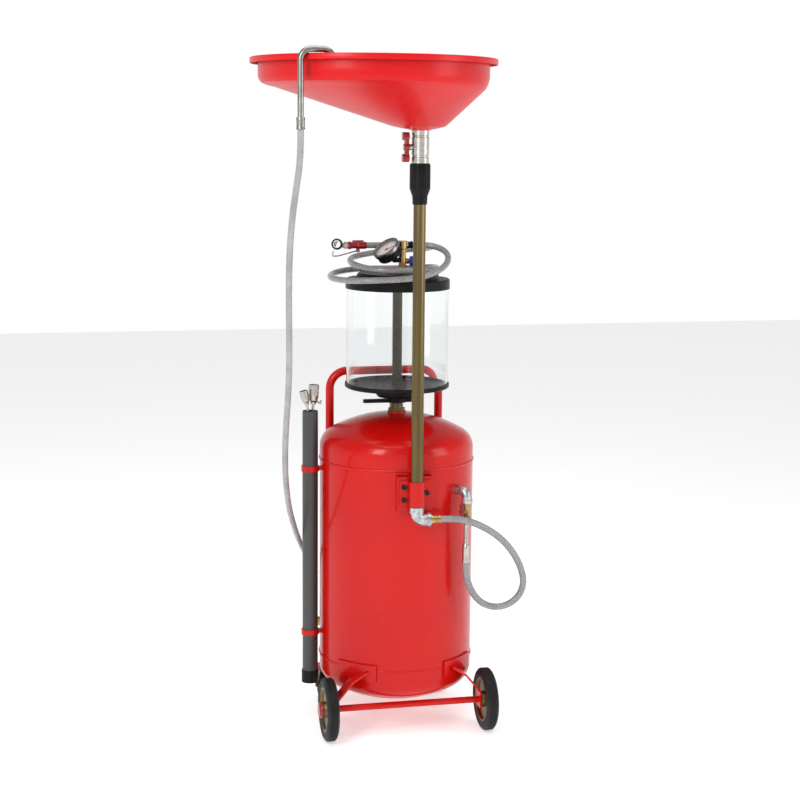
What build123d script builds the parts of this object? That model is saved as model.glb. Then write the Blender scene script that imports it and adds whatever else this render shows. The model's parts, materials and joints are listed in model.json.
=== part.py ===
from build123d import *
import os
from math import atan2, cos, degrees, pi, radians, sin, sqrt, tan

# Mobile waste-oil drainer with a raised drain pan.
# A pressure tank stands on two fixed wheels and two swivel casters.  A telescopic mast at its
# front carries the eccentric drain pan, a clear evacuation chamber stands on its top, a dipstick
# probe holder hangs on its left side, and three hoses join them.
# Millimetres, +Z up, +X to the operator's right, -Y the front, where the mast is.
# Everything is laid out from the tank's axis on the ground, and moved at the end so that the
# origin is the centre of the rigid machine's footprint.

# ---- driving dimensions -------------------------------------------------------------------
TANK_R = 198.0            # outer radius of the tank
TANK_WALL = 3.0
SEAM_LOW_Z = 177.0        # lower and upper circular weld seams
SEAM_HIGH_Z = 694.0
SKIRT = 30.0              # straight flange of each dished head
CROWN_R = 1.8 * TANK_R    # torispherical heads: crown and knuckle radii
KNUCKLE_R = 0.24 * TANK_R
BEAD = 1.8                # height of the weld beads

WHEEL_R = 80.0            # front wheels
WHEEL_WIDTH = 30.0
TRACK_HALF = 206.0        # tank axis to wheel centre
AXLE_Y = -160.0
AXLE_TUBE_R = 8.5
AXLE_R = 6.0
LEG_X = 185.0             # inner face of the leg's lower tab

CASTER_R = 37.5
CASTER_WIDTH = 24.0
CASTER_X = 162.0
CASTER_Y = 140.0
CASTER_TRAIL = 22.0
CASTER_PLATE_Z = 95.5     # underside of the caster's mounting plate
PLATE = 5.0

HANDLE_R = 11.0
HANDLE_TOP_Z = 900.0
HANDLE_FOOT_Z = 600.0
HANDLE_BEND = 47.0

MAST_Y = -230.0
MAST_R = 15.0             # outer tube
MAST_FOOT_Z = 600.0
MAST_TOP_Z = 1384.0
INNER_R = 12.9            # inner tube, a sliding fit in the outer tube
INNER_FOOT_Z = 640.0
RUNNING = 0.08            # radial clearance of running and sliding fits
FREE = 0.4                # gap between separate bodies that only pass each other

BRACKET_HALF = 45.5
BRACKET_LOW_Z = 596.0
BRACKET_HIGH_Z = 683.0
BRACKET_FACE_Y = -212.0

VALVE_LOW_Z = 1450.0      # pan valve, between the mast and the pan's outlet
PAN_OUTLET_Z = 1527.0
VALVE_R = 21.0
VALVE_STEM_Z = 1488.0

PAN_X = -114.0            # centre of the pan's round rim
PAN_RIM_Z = 1693.0
PAN_R = 273.0             # outside of the pan's wall
PAN_LIP_R = 292.0
PAN_LIP_DEPTH = 14.0
PAN_SHEET = 2.5
# the pan's outer form as rings: (centre x, radius, height)
PAN_RINGS = [
    (PAN_X, PAN_R, 1648.0),
    (PAN_X - 1.0, PAN_R - 2.0, 1636.0),
    (PAN_X + 17.5, PAN_R - 25.5, 1624.0),
    (-4.5, 64.5, 1537.0),
    (0.0, 22.0, PAN_OUTLET_Z),
]

CHAMBER_R = 130.5         # clear cylinder
CHAMBER_WALL = 5.0
BASE_Z = 876.0            # underside of the chamber's base disc
BASE_FLOOR_Z = 882.0
BASE_R = 134.0
GASKET = 2.0
GLASS_TOP_Z = 1134.0
LID_R = 133.0
LID_EDGE_Z = 1131.0
LID_RIM_Z = 1156.0
LID_TOP_Z = 1170.0
CENTRE_TUBE_R = 12.5

HOLDER_X = -226.0         # probe holder tube
HOLDER_R = 20.0
HOLDER_BORE_R = 17.5
HOLDER_LOW_Z = 104.0
HOLDER_TOP_Z = 820.0
HOLDER_RING_Z = (239.0, 671.0)
SLIM_PROBE_XY = (HOLDER_X - 7.5, -6.0)
WIDE_PROBE_XY = (HOLDER_X + 8.0, 6.0)

RETURN_ANGLE = -53.5      # where the return valve meets the tank, degrees about the tank's axis
RETURN_REACH = 234.0      # tank axis to the valve's own axis
RETURN_Z = 636.0

DRAIN_ANGLE = 148.0       # discharge port, at the rear left
DRAIN_REACH = 234.0
DRAIN_Z = 230.0

SUCTION_HOSE_R = 7.75
RETURN_HOSE_R = 8.5
DRAIN_HOSE_R = 7.5

GAUGE_FACE = Vector(-38, -21, 1237)            # centre of the gauge's face
GAUGE_AIM = Vector(-0.585, -0.243, 0.775).normalized()
GAUGE_R = 36.0
GAUGE_DEPTH = 30.0
COUPLER_Y = 30.0
COUPLER_Z = 1238.0
MANIFOLD_X, MANIFOLD_Y = 12.0, 3.0             # brass column on the lid
LINE_Z = 1240.0                                # height of the suction hose's connector
BLEED_Z = 1199.0


# ---- helpers ------------------------------------------------------------------------------
def disc(radius, low, high, x=0.0, y=0.0):
    """Upright cylinder between two heights."""
    return Pos(x, y, (low + high) / 2) * Cylinder(radius, high - low)


def pipe(outer, inner, low, high, x=0.0, y=0.0):
    return disc(outer, low, high, x, y) - disc(inner, low - 1, high + 1, x, y)


def block(x0, x1, y0, y1, z0, z1):
    middle = Pos((x0 + x1) / 2, (y0 + y1) / 2, (z0 + z1) / 2)
    return middle * Box(x1 - x0, y1 - y0, z1 - z0)


def rod(start, end, radius):
    """Round bar from one point to another."""
    start, end = Vector(start), Vector(end)
    plane = Plane(origin=start, z_dir=end - start)
    return plane * Cylinder(radius, (end - start).length, align=(Align.CENTER, Align.CENTER, Align.MIN))


def hollow_rod(start, end, radius, bore):
    start, end = Vector(start), Vector(end)
    over = (end - start).normalized()
    return rod(start, end, radius) - rod(start - over, end + over, bore)


def hexagon(start, end, across_flats):
    """Hexagonal bar from one point to another."""
    start, end = Vector(start), Vector(end)
    plane = Plane(origin=start, z_dir=end - start)
    shape = RegularPolygon(across_flats / 2, 6, major_radius=False)
    return extrude(plane * shape, (end - start).length)


def turned(outline, start=(0, 0, 0), aim=(0, 0, 1)):
    """Solid of revolution: outline is (radius, distance along aim) points."""
    face = Plane.XZ * make_face(Polyline(*outline, close=True))
    return Plane(origin=start, z_dir=aim) * revolve(face, Axis.Z)


def at_angle(angle, radius, z):
    return Vector(radius * cos(radians(angle)), radius * sin(radians(angle)), z)


def mirrored(shape):
    return mirror(shape, about=Plane.YZ)


# ---- tank ---------------------------------------------------------------------------------
def dish(inset):
    """Filled dished head standing on its seam, its surface moved inwards by inset."""
    knuckle_x = TANK_R - KNUCKLE_R
    crown_z = SKIRT - sqrt((CROWN_R - KNUCKLE_R) ** 2 - knuckle_x ** 2)
    join = degrees(atan2(SKIRT - crown_z, knuckle_x))
    radius = TANK_R - inset
    top = crown_z + CROWN_R - inset
    outline = [
        Line((0, 0), (radius, 0)),
        Line((radius, 0), (radius, SKIRT)),
        CenterArc((knuckle_x, SKIRT), KNUCKLE_R - inset, 0, join),
        CenterArc((0, crown_z), CROWN_R - inset, join, 90 - join),
        Line((0, top), (0, 0)),
    ]
    return revolve(Plane.XZ * make_face(outline), Axis.Z)


HEAD_HEIGHT = SKIRT - sqrt((CROWN_R - KNUCKLE_R) ** 2 - (TANK_R - KNUCKLE_R) ** 2) + CROWN_R
TANK_TOP_Z = SEAM_HIGH_Z + HEAD_HEIGHT
TANK_LOW_Z = SEAM_LOW_Z - HEAD_HEIGHT


def tank_envelope():
    """The tank's outer form, filled: what is welded on is trimmed with it."""
    top = Pos(0, 0, SEAM_HIGH_Z) * dish(0)
    low = Pos(0, 0, SEAM_LOW_Z) * mirror(dish(0), about=Plane.XY)
    return disc(TANK_R, SEAM_LOW_Z, SEAM_HIGH_Z) + top + low


def weld_bead(z, side):
    """Bead over the seam, carried by the head; side is +1 on the upper head."""
    half = 3.0
    outline = [
        (TANK_R - 1.0, z),
        (TANK_R, z),
        (TANK_R, z - side * half),
        (TANK_R + BEAD, z - side * half / 3),
        (TANK_R + BEAD, z + side * half / 3),
        (TANK_R - 1.0, z + side * half),
    ]
    return turned(outline)


def tank_barrel():
    barrel = pipe(TANK_R, TANK_R - TANK_WALL, SEAM_LOW_Z, SEAM_HIGH_Z)
    for angle, z in ((RETURN_ANGLE, RETURN_Z), (DRAIN_ANGLE, DRAIN_Z)):
        barrel -= rod(at_angle(angle, TANK_R - 10, z), at_angle(angle, TANK_R + 10, z), 9)
    return barrel


def tank_top_head():
    head = dish(0) - dish(TANK_WALL)
    head = Pos(0, 0, SEAM_HIGH_Z) * head + weld_bead(SEAM_HIGH_Z, 1)
    head += disc(24, TANK_TOP_Z - 3, TANK_TOP_Z + 4)
    return head - disc(9, TANK_TOP_Z - 10, TANK_TOP_Z + 10)


def tank_bottom_head():
    head = mirror(dish(0) - dish(TANK_WALL), about=Plane.XY)
    return Pos(0, 0, SEAM_LOW_Z) * head + weld_bead(SEAM_LOW_Z, -1)


# ---- undercarriage ------------------------------------------------------------------------
def axle_leg_right(envelope, head):
    """Bent strip from a pad on the barrel down to a tab that carries the axle."""
    pad_low, pad_high = SEAM_LOW_Z - 26, SEAM_LOW_Z + 16
    gap = BEAD + 0.2
    pad = pipe(TANK_R + gap + 4, TANK_R, pad_low, pad_high)
    wedge = extrude(Pos(0, 0, pad_low) * make_face(Polyline(
        (0, 0), (260 * cos(radians(-64)), 260 * sin(radians(-64))),
        (260 * cos(radians(-32)), 260 * sin(radians(-32))), close=True)), pad_high - pad_low)
    pad = pad & wedge
    pad -= turned([(TANK_R - 2, SEAM_LOW_Z - 4), (TANK_R + gap, SEAM_LOW_Z - 4),
                   (TANK_R + gap, SEAM_LOW_Z + 4), (TANK_R - 2, SEAM_LOW_Z + 4)])
    strip_line = [(112, 172), (146, 150), (LEG_X, 104), (LEG_X, 62), (LEG_X + 4, 62), (LEG_X + 4, 107),
                  (149, 154), (112, 178)]
    strip = Plane.XZ * make_face(Polyline(*strip_line, close=True))
    strip = Pos(0, AXLE_Y + 21, 0) * extrude(strip, 42)
    bore = rod((LEG_X - 5, AXLE_Y, WHEEL_R), (LEG_X + 10, AXLE_Y, WHEEL_R), AXLE_R)
    return pad + strip - envelope - head - bore


def front_axle_tube():
    length = LEG_X
    return hollow_rod((-length, AXLE_Y, WHEEL_R), (length, AXLE_Y, WHEEL_R), AXLE_TUBE_R, AXLE_R)


def axle_shaft():
    reach = TRACK_HALF + WHEEL_WIDTH / 2 + 9
    return rod((-reach, AXLE_Y, WHEEL_R), (reach, AXLE_Y, WHEEL_R), AXLE_R)


def axle_nuts():
    inner = TRACK_HALF + WHEEL_WIDTH / 2 + 1
    nut = hexagon((inner, AXLE_Y, WHEEL_R), (inner + 7, AXLE_Y, WHEEL_R), 18)
    nut -= rod((inner - 1, AXLE_Y, WHEEL_R), (inner + 9, AXLE_Y, WHEEL_R), AXLE_R)
    return [nut, mirrored(nut)]


def wheel_parts(side):
    """Tyre, rim and hub cap of a front wheel; side is +1 on the right."""
    centre = (side * TRACK_HALF, AXLE_Y, WHEEL_R)
    aim = (side, 0, 0)
    half = WHEEL_WIDTH / 2
    tyre = turned([
        (56, -half + 2), (61, -half), (72, -half), (78.5, -half + 4), (WHEEL_R, -half + 8),
        (WHEEL_R, half - 8), (78.5, half - 4), (72, half), (61, half), (56, half - 2)], centre, aim)
    for offset in (-5.0, 5.0):
        low, high = offset - 1.2, offset + 1.2
        tyre -= turned([(78.2, low), (WHEEL_R + 1, low), (WHEEL_R + 1, high), (78.2, high)], centre, aim)
    bore = AXLE_R + RUNNING
    rim = turned([
        (bore, -half), (19, -half), (21, -7), (49, -7), (53, -half + 2), (56, -half + 2),
        (56, half - 2), (53, half - 2), (49, 7), (21, 7), (19, half), (bore, half)], centre, aim)
    cap = turned([
        (12.5, half), (20, half), (20, half + 5), (16, half + 10.5), (0, half + 12), (0, half + 10),
        (12.5, half + 10)], centre, aim)
    return tyre, rim, cap


def caster_mount_right(envelope):
    """Plate and gusset welded under the tank at the rear, with the caster's bolt hole."""
    angle = degrees(atan2(CASTER_Y, CASTER_X))
    reach = sqrt(CASTER_X ** 2 + CASTER_Y ** 2)
    low, high = CASTER_PLATE_Z, CASTER_PLATE_Z + PLATE
    plate = block(130, reach, -24, 24, low, high) + disc(24, low, high, reach)
    corners = Polyline((130, high), (reach + 4, high), (199, 168), (130, 168), close=True)
    gusset = Plane.XZ * make_face(corners)
    gusset = Pos(0, 2.5, 0) * extrude(gusset, 5)
    mount = Rot(0, 0, angle) * (plate + gusset)
    bolt = disc(5.0, low - 5, high + 60, CASTER_X, CASTER_Y)
    clearance = disc(10.5, high, high + 60, CASTER_X, CASTER_Y)
    return mount - envelope - bolt - clearance


def caster_kingpin_right():
    """Bolt that the caster swivels on, its head above the plate."""
    low = CASTER_PLATE_Z - 8.5
    pin = disc(5.0, low, CASTER_PLATE_Z + PLATE, CASTER_X, CASTER_Y)
    top = CASTER_PLATE_Z + PLATE
    head = hexagon((CASTER_X, CASTER_Y, top), (CASTER_X, CASTER_Y, top + 6), 17)
    return pin + head + disc(8.0, low - 3, low, CASTER_X, CASTER_Y)


def caster_fork_right():
    """Pressed fork: swivel ring under the plate, and two legs to the wheel's axle."""
    top = CASTER_PLATE_Z - FREE
    wheel_y = CASTER_Y + CASTER_TRAIL
    crown = disc(19, top - 7, top, CASTER_X, CASTER_Y)
    crown -= disc(5.0 + RUNNING, top - 10, top + 1, CASTER_X, CASTER_Y)
    crown -= disc(8.0 + FREE, top - 12, top - 7, CASTER_X, CASTER_Y)
    inner = CASTER_WIDTH / 2 + 2
    leg_line = [(CASTER_Y - 17, top - 7), (CASTER_Y + 17, top - 7), (wheel_y + 11, CASTER_R),
                (wheel_y + 6, CASTER_R - 9), (wheel_y - 6, CASTER_R - 9), (wheel_y - 13, CASTER_R + 4)]
    leg = Plane.YZ * make_face(Polyline(*leg_line, close=True))
    right = Pos(CASTER_X + inner, 0, 0) * extrude(leg, 3)
    left = Pos(CASTER_X - inner - 3, 0, 0) * extrude(leg, 3)
    roof = block(CASTER_X - inner - 3, CASTER_X + inner + 3, CASTER_Y - 17, CASTER_Y + 17, top - 10, top - 7)
    roof -= disc(8.0 + FREE, top - 12, top - 6, CASTER_X, CASTER_Y)
    axle = rod((CASTER_X - 25, wheel_y, CASTER_R), (CASTER_X + 25, wheel_y, CASTER_R), 4.0)
    return crown + roof + right + left - axle


def caster_axle_right():
    wheel_y = CASTER_Y + CASTER_TRAIL
    face = CASTER_WIDTH / 2 + 5
    pin = rod((CASTER_X - face, wheel_y, CASTER_R), (CASTER_X + face, wheel_y, CASTER_R), 4.0)
    for side in (-1, 1):
        pin += hexagon((CASTER_X + side * face, wheel_y, CASTER_R),
                       (CASTER_X + side * (face + 4), wheel_y, CASTER_R), 12)
    return pin


def caster_wheel_right():
    half = CASTER_WIDTH / 2
    bore = 4.0 + RUNNING
    outline = [(bore, -half), (12, -half), (13, -half + 3), (27, -half + 3), (29, -half), (33, -half),
               (CASTER_R, -half + 5), (CASTER_R, half - 5), (33, half), (29, half), (27, half - 3),
               (13, half - 3), (12, half), (bore, half)]
    return turned(outline, (CASTER_X, CASTER_Y + CASTER_TRAIL, CASTER_R), (1, 0, 0))


# ---- handle -------------------------------------------------------------------------------
HANDLE_XY = (TANK_R + HANDLE_R) / sqrt(2)


def push_handle(envelope, head):
    """Hoop of tube up the back of the tank, its legs welded along the barrel."""
    corners = [(-HANDLE_XY, HANDLE_XY, HANDLE_FOOT_Z), (-HANDLE_XY, HANDLE_XY, HANDLE_TOP_Z),
               (HANDLE_XY, HANDLE_XY, HANDLE_TOP_Z), (HANDLE_XY, HANDLE_XY, HANDLE_FOOT_Z)]
    line = FilletPolyline(*corners, radius=HANDLE_BEND)
    section = Plane(origin=corners[0], z_dir=(0, 0, 1)) * (Circle(HANDLE_R) - Circle(HANDLE_R - 1.8))
    return sweep(section, path=line) - envelope - head


# ---- mast ---------------------------------------------------------------------------------
def mast_bracket(envelope):
    """Folded plate that stands off the barrel and takes the clamp."""
    back = -150.0
    shell = block(-BRACKET_HALF, BRACKET_HALF, BRACKET_FACE_Y, back, BRACKET_LOW_Z, BRACKET_HIGH_Z)
    inside = BRACKET_HALF - PLATE
    shell -= block(-inside, inside, BRACKET_FACE_Y + PLATE, back + 1, BRACKET_LOW_Z - 1, BRACKET_HIGH_Z + 1)
    return shell - envelope - bolt_rods(2.95)


CLAMP_LOW_Z = 612.0
CLAMP_HIGH_Z = 674.0
CLAMP_BOLTS = [(-29.0, 658.0), (-29.0, 626.0), (29.0, 642.0)]


def bolt_rods(radius, front=BRACKET_FACE_Y - 4, back=BRACKET_FACE_Y + 9):
    rods = [rod((x, front, z), (x, back, z), radius) for x, z in CLAMP_BOLTS]
    return Compound(rods)


def mast_clamp():
    """Half-round saddle over the mast's foot, with an ear on each side."""
    saddle = pipe(MAST_R + 4, MAST_R, CLAMP_LOW_Z, CLAMP_HIGH_Z, 0, MAST_Y)
    saddle -= block(-40, 40, MAST_Y, MAST_Y + 40, CLAMP_LOW_Z - 1, CLAMP_HIGH_Z + 1)
    clamp = saddle
    for side in (-1, 1):
        inner, outer = sorted((side * MAST_R, side * (MAST_R + 4)))
        clamp += block(inner, outer, MAST_Y, BRACKET_FACE_Y, CLAMP_LOW_Z, CLAMP_HIGH_Z)
        inner, outer = sorted((side * MAST_R, side * 40))
        clamp += block(inner, outer, BRACKET_FACE_Y - 4, BRACKET_FACE_Y, CLAMP_LOW_Z, CLAMP_HIGH_Z)
    return clamp - bolt_rods(2.95) - disc(MAST_R, CLAMP_LOW_Z - 1, CLAMP_HIGH_Z + 1, 0, MAST_Y)


def clamp_bolts():
    bolts = []
    for x, z in CLAMP_BOLTS:
        face = BRACKET_FACE_Y - 4
        bolt = rod((x, face, z), (x, BRACKET_FACE_Y + 9, z), 2.95)
        head = hexagon((x, face - 5, z), (x, face, z), 12)
        socket = hexagon((x, face - 6, z), (x, face - 2.5, z), 5)
        bolts.append(bolt + head - socket)
    return bolts


def mast_outer_tube():
    return pipe(MAST_R, INNER_R + RUNNING, MAST_FOOT_Z, MAST_TOP_Z, 0, MAST_Y)


def mast_inner_tube():
    return pipe(INNER_R, INNER_R - 2.2, INNER_FOOT_Z, VALVE_LOW_Z + 11, 0, MAST_Y)


def mast_lock_sleeve():
    """Ribbed twist-lock collar on top of the outer tube."""
    low, step, high = MAST_TOP_Z - 32, MAST_TOP_Z + 2, VALVE_LOW_Z - FREE
    sleeve = turned([(0, low), (17.5, low), (18.5, step - 14), (23, step - 2), (25, step + 4),
                     (25, high - 5), (24, high - 1), (22, high), (0, high)], (0, MAST_Y, 0))
    ribs = 20
    for index in range(ribs):
        spot = at_angle(360 * index / ribs, 25.6, 0)
        sleeve -= disc(1.6, step + 6, high - 6, spot.X, MAST_Y + spot.Y)
    sleeve -= disc(MAST_R + RUNNING, low - 1, step, 0, MAST_Y)
    return sleeve - disc(INNER_R + 0.35, low, high + 1, 0, MAST_Y)


ELBOW_Z = 577.0
ELBOW_REACH = 35.0


def swept_pipe(points, bend, outer, inner):
    line = FilletPolyline(*points, radius=bend)
    section = Plane(origin=line @ 0, z_dir=line % 0) * (Circle(outer) - Circle(inner))
    return sweep(section, path=line)


def mast_elbow():
    """Galvanised elbow under the mast, towards the right."""
    points = [(0, MAST_Y, MAST_FOOT_Z), (0, MAST_Y, ELBOW_Z), (ELBOW_REACH, MAST_Y, ELBOW_Z)]
    elbow = swept_pipe(points, 20, 15.5, 11)
    elbow += pipe(18, MAST_R, MAST_FOOT_Z - 3, MAST_FOOT_Z + 10, 0, MAST_Y)
    elbow += pipe(18, 11, MAST_FOOT_Z - 5, MAST_FOOT_Z, 0, MAST_Y)
    elbow += hollow_rod((ELBOW_REACH - 9, MAST_Y, ELBOW_Z), (ELBOW_REACH, MAST_Y, ELBOW_Z), 17.5, 11)
    return elbow - disc(MAST_R, MAST_FOOT_Z, MAST_FOOT_Z + 20, 0, MAST_Y)


def return_ferrule():
    """Brass hose tail in the elbow, crimped round the return hose."""
    start = (ELBOW_REACH, MAST_Y, ELBOW_Z)
    outline = [(5.5, -6), (10.9, -6), (10.9, 0), (11.5, 0), (11.5, 6), (9.5, 7), (9.5, 18), (10.3, 19),
               (10.3, 22), (9.5, 23), (9.5, 25), (5.5, 25)]
    return turned(outline, start, (1, 0, 0))


# ---- return valve on the tank -------------------------------------------------------------
RETURN_AXIS = at_angle(RETURN_ANGLE, RETURN_REACH, 0)


def tank_port_elbow(envelope):
    out = at_angle(RETURN_ANGLE, 1, 0)
    corner = at_angle(RETURN_ANGLE, RETURN_REACH, RETURN_Z)
    start = at_angle(RETURN_ANGLE, TANK_R - 6, RETURN_Z)
    foot = Vector(RETURN_AXIS.X, RETURN_AXIS.Y, 606)
    elbow = swept_pipe([start, corner, foot], 16, 12, 7.5)
    elbow += pipe(15, 7.5, 606, 614, RETURN_AXIS.X, RETURN_AXIS.Y)
    socket = rod(start, start + out * 12, 8.9) - rod(start - out, start + out * 14, 7.5)
    return (elbow - envelope) + (socket & (disc(TANK_R, 600, 680) - disc(TANK_R - 6, 599, 681)))


def return_valve_body():
    """Brass ball valve with hexagon ends under the port's elbow."""
    x, y = RETURN_AXIS.X, RETURN_AXIS.Y
    body = turned([(0, 564), (8, 564), (8, 570), (11.5, 572), (11.5, 598), (9, 600), (9, 606), (0, 606)],
                  (x, y, 0))
    body += hexagon((x, y, 598), (x, y, 606), 23)
    body += hexagon((x, y, 566), (x, y, 573), 22)
    aim = at_angle(RETURN_ANGLE - 90, 1, 0)
    centre = Vector(x, y, 585)
    body += rod(centre, centre + aim * 16, 6)
    body -= disc(5, 550, 620, x, y)
    return body - rod(centre, centre + aim * 20, 3.0 + RUNNING)


def return_valve_lever():
    """Short lever on the valve's front stem; it points down the pipe when open."""
    aim = at_angle(RETURN_ANGLE - 90, 1, 0)
    centre = Vector(RETURN_AXIS.X, RETURN_AXIS.Y, 585)
    stem = rod(centre + aim * 6.5, centre + aim * 22, 3.0)
    hub = rod(centre + aim * 16.5, centre + aim * 21, 8)
    plane = Plane(origin=centre + aim * 16.5, x_dir=(0, 0, 1), z_dir=aim)
    arm = plane * extrude(make_face(Polyline((-14, -5), (14, -5), (14, 5), (-14, 5), close=True)), 4.5)
    end = extrude(Circle(6.5), 4.5)
    return stem + hub + arm + plane * Pos(14, 0, 0) * end + plane * Pos(-14, 0, 0) * end


def return_hose_tail():
    """Slim tail pipe under the valve, ending in the hose's ferrule."""
    x, y = RETURN_AXIS.X, RETURN_AXIS.Y
    outline = [(3.5, 453), (8.9, 453), (9.2, 457), (8.9, 460), (8.9, 490), (9.3, 494), (8, 498), (6, 500),
               (6, 552), (8, 554), (8, 564), (3.5, 564)]
    return turned(outline, (x, y, 0))


# ---- drain pan ----------------------------------------------------------------------------
def pan_form(inset):
    """Filled pan from its rim to its outlet, the surface moved inwards by inset."""
    faces = [Pos(x, MAST_Y, z + inset) * Circle(radius - inset) for x, radius, z in PAN_RINGS]
    bowl = loft(faces, ruled=True)
    top = PAN_RIM_Z if inset == 0 else PAN_RIM_Z + 5
    return bowl + disc(PAN_R - inset, PAN_RINGS[0][2] + inset, top, PAN_X, MAST_Y)


def pan_shell():
    """Round pan with an eccentric sloping floor and a turned-down lip."""
    shell = pan_form(0) - pan_form(PAN_SHEET)
    edge = PAN_LIP_R - 3
    lip = turned([(PAN_R - 1, PAN_RIM_Z - 3), (edge, PAN_RIM_Z - 3), (edge, PAN_RIM_Z - PAN_LIP_DEPTH),
                  (PAN_LIP_R, PAN_RIM_Z - PAN_LIP_DEPTH), (PAN_LIP_R, PAN_RIM_Z - 2),
                  (PAN_LIP_R - 2, PAN_RIM_Z), (PAN_R - PAN_SHEET, PAN_RIM_Z),
                  (PAN_R - PAN_SHEET, PAN_RIM_Z - 3)], (PAN_X, MAST_Y, 0))
    return shell + lip - disc(11, PAN_OUTLET_Z - 5, PAN_OUTLET_Z + 12, 0, MAST_Y)


def pan_valve_body():
    """Nickel-plated ball valve body, with a socket for the mast's inner tube."""
    centre = (0, MAST_Y, 0)
    outline = [(0, VALVE_LOW_Z), (VALVE_R, VALVE_LOW_Z), (VALVE_R, 1463), (VALVE_R - 1.2, 1464),
               (VALVE_R - 1.2, 1468), (VALVE_R, 1469), (VALVE_R, 1511), (VALVE_R - 1.5, 1512),
               (VALVE_R - 1.5, 1515), (VALVE_R, 1516), (VALVE_R, PAN_OUTLET_Z), (0, PAN_OUTLET_Z)]
    body = turned(outline, centre)
    body += rod((0, MAST_Y, VALVE_STEM_Z), (-27, MAST_Y, VALVE_STEM_Z), 7)
    body -= disc(INNER_R + RUNNING, VALVE_LOW_Z - 1, VALVE_LOW_Z + 11 + FREE, 0, MAST_Y)
    body -= disc(9, VALVE_LOW_Z, PAN_OUTLET_Z + 1, 0, MAST_Y)
    body -= Pos(0, MAST_Y, VALVE_STEM_Z) * Sphere(15)
    return body - rod((0, MAST_Y, VALVE_STEM_Z), (-40, MAST_Y, VALVE_STEM_Z), 3.5 + RUNNING)


def pan_valve_ball():
    ball = Pos(0, MAST_Y, VALVE_STEM_Z) * Sphere(14.5)
    ball -= disc(8, VALVE_STEM_Z - 20, VALVE_STEM_Z + 20, 0, MAST_Y)
    return ball - rod((-11, MAST_Y, VALVE_STEM_Z), (-16, MAST_Y, VALVE_STEM_Z), 3.5)


def pan_valve_stem():
    return rod((-11, MAST_Y, VALVE_STEM_Z), (-40, MAST_Y, VALVE_STEM_Z), 3.5)


def pan_valve_handle():
    """Butterfly handle: two rounded wings across the stem."""
    plane = Plane(origin=(-28, MAST_Y, VALVE_STEM_Z), x_dir=(0, 0, 1), z_dir=(-1, 0, 0))
    bar = plane * extrude(make_face(Polyline((-27, -6), (27, -6), (27, 6), (-27, 6), close=True)), 8)
    wing = extrude(Circle(9.5), 12)
    wings = plane * Pos(26, 0, -0.5) * wing + plane * Pos(-26, 0, -0.5) * wing
    hub = rod((-27.5, MAST_Y, VALVE_STEM_Z), (-38, MAST_Y, VALVE_STEM_Z), 9)
    handle = bar + wings + hub
    return handle - rod((-20, MAST_Y, VALVE_STEM_Z), (-45, MAST_Y, VALVE_STEM_Z), 3.5)


# ---- discharge hook -----------------------------------------------------------------------
HOOK_X, HOOK_Y = -326.0, -450.0
HOOK_R = 7.0
HOOK_SPAN = 74.0
HOOK_TOP_Z = PAN_RIM_Z + HOOK_R + 1.5
FERRULE_HIGH_Z = 1553.0
FERRULE_LOW_Z = 1526.0


def discharge_hook():
    """Bent steel nozzle pipe that hangs over the pan's lip."""
    points = [(HOOK_X, HOOK_Y, FERRULE_HIGH_Z - 10), (HOOK_X, HOOK_Y, HOOK_TOP_Z),
              (HOOK_X + HOOK_SPAN, HOOK_Y, HOOK_TOP_Z), (HOOK_X + HOOK_SPAN, HOOK_Y, HOOK_TOP_Z - 46)]
    return swept_pipe(points, 24, HOOK_R, HOOK_R - 1.5)


def hook_ferrule():
    low, high = FERRULE_LOW_Z, FERRULE_HIGH_Z
    outline = [(5.5, low), (9.6, low), (10, low + 2), (9.4, low + 5), (9.4, high - 7), (10, high - 5),
               (9.6, high), (HOOK_R, high), (HOOK_R, high - 10), (5.5, high - 10)]
    return turned(outline, (HOOK_X, HOOK_Y, 0))


# ---- evacuation chamber -------------------------------------------------------------------
def chamber_neck():
    """Zinc-plated pipe nipple with a lock nut on the tank's boss."""
    low = TANK_TOP_Z + 4
    neck = disc(14, low, 850) + hexagon((0, 0, low), (0, 0, low + 8), 38)
    neck += disc(16.5, low + 8, low + 17)
    return neck - disc(9, low - 1, 851)


LEVER_LOW_Z, LEVER_HIGH_Z = 836.5, 848.0


def drain_valve_lever():
    """Ring and arm that turn round the neck to open the chamber's drain."""
    ring = disc(23, LEVER_LOW_Z, LEVER_HIGH_Z)
    arm = extrude(Pos(0, 0, LEVER_LOW_Z) * make_face(Polyline(
        (0, -9), (-60, -6.5), (-82, -6.5), (-88, -3), (-88, 3), (-82, 6.5), (-60, 6.5), (0, 9), close=True)), 9)
    tail = extrude(Pos(0, 0, LEVER_LOW_Z) * make_face(Polyline(
        (0, -9), (40, -6), (44, -2), (44, 2), (40, 6), (0, 9), close=True)), 9)
    return ring + arm + tail - disc(14 + RUNNING, LEVER_LOW_Z - 1, LEVER_HIGH_Z + 1)


def chamber_base():
    """Black base disc with an upstanding rim round the cylinder, and the valve housing below."""
    outline = [(9, 850), (14, 850), (14, 848.4), (24, 848.4), (50, 852), (54, 858), (54, 868), (60, BASE_Z),
               (BASE_R - 4, BASE_Z), (BASE_R, BASE_Z + 3), (BASE_R, 888), (CHAMBER_R + 0.5, 888),
               (CHAMBER_R + 0.5, BASE_FLOOR_Z), (9, BASE_FLOOR_Z)]
    return turned(outline)


def gasket_ring(low):
    return pipe(CHAMBER_R, CHAMBER_R - 8, low, low + GASKET)


def chamber_cylinder():
    return pipe(CHAMBER_R, CHAMBER_R - CHAMBER_WALL, BASE_FLOOR_Z + GASKET, GLASS_TOP_Z)


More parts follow.
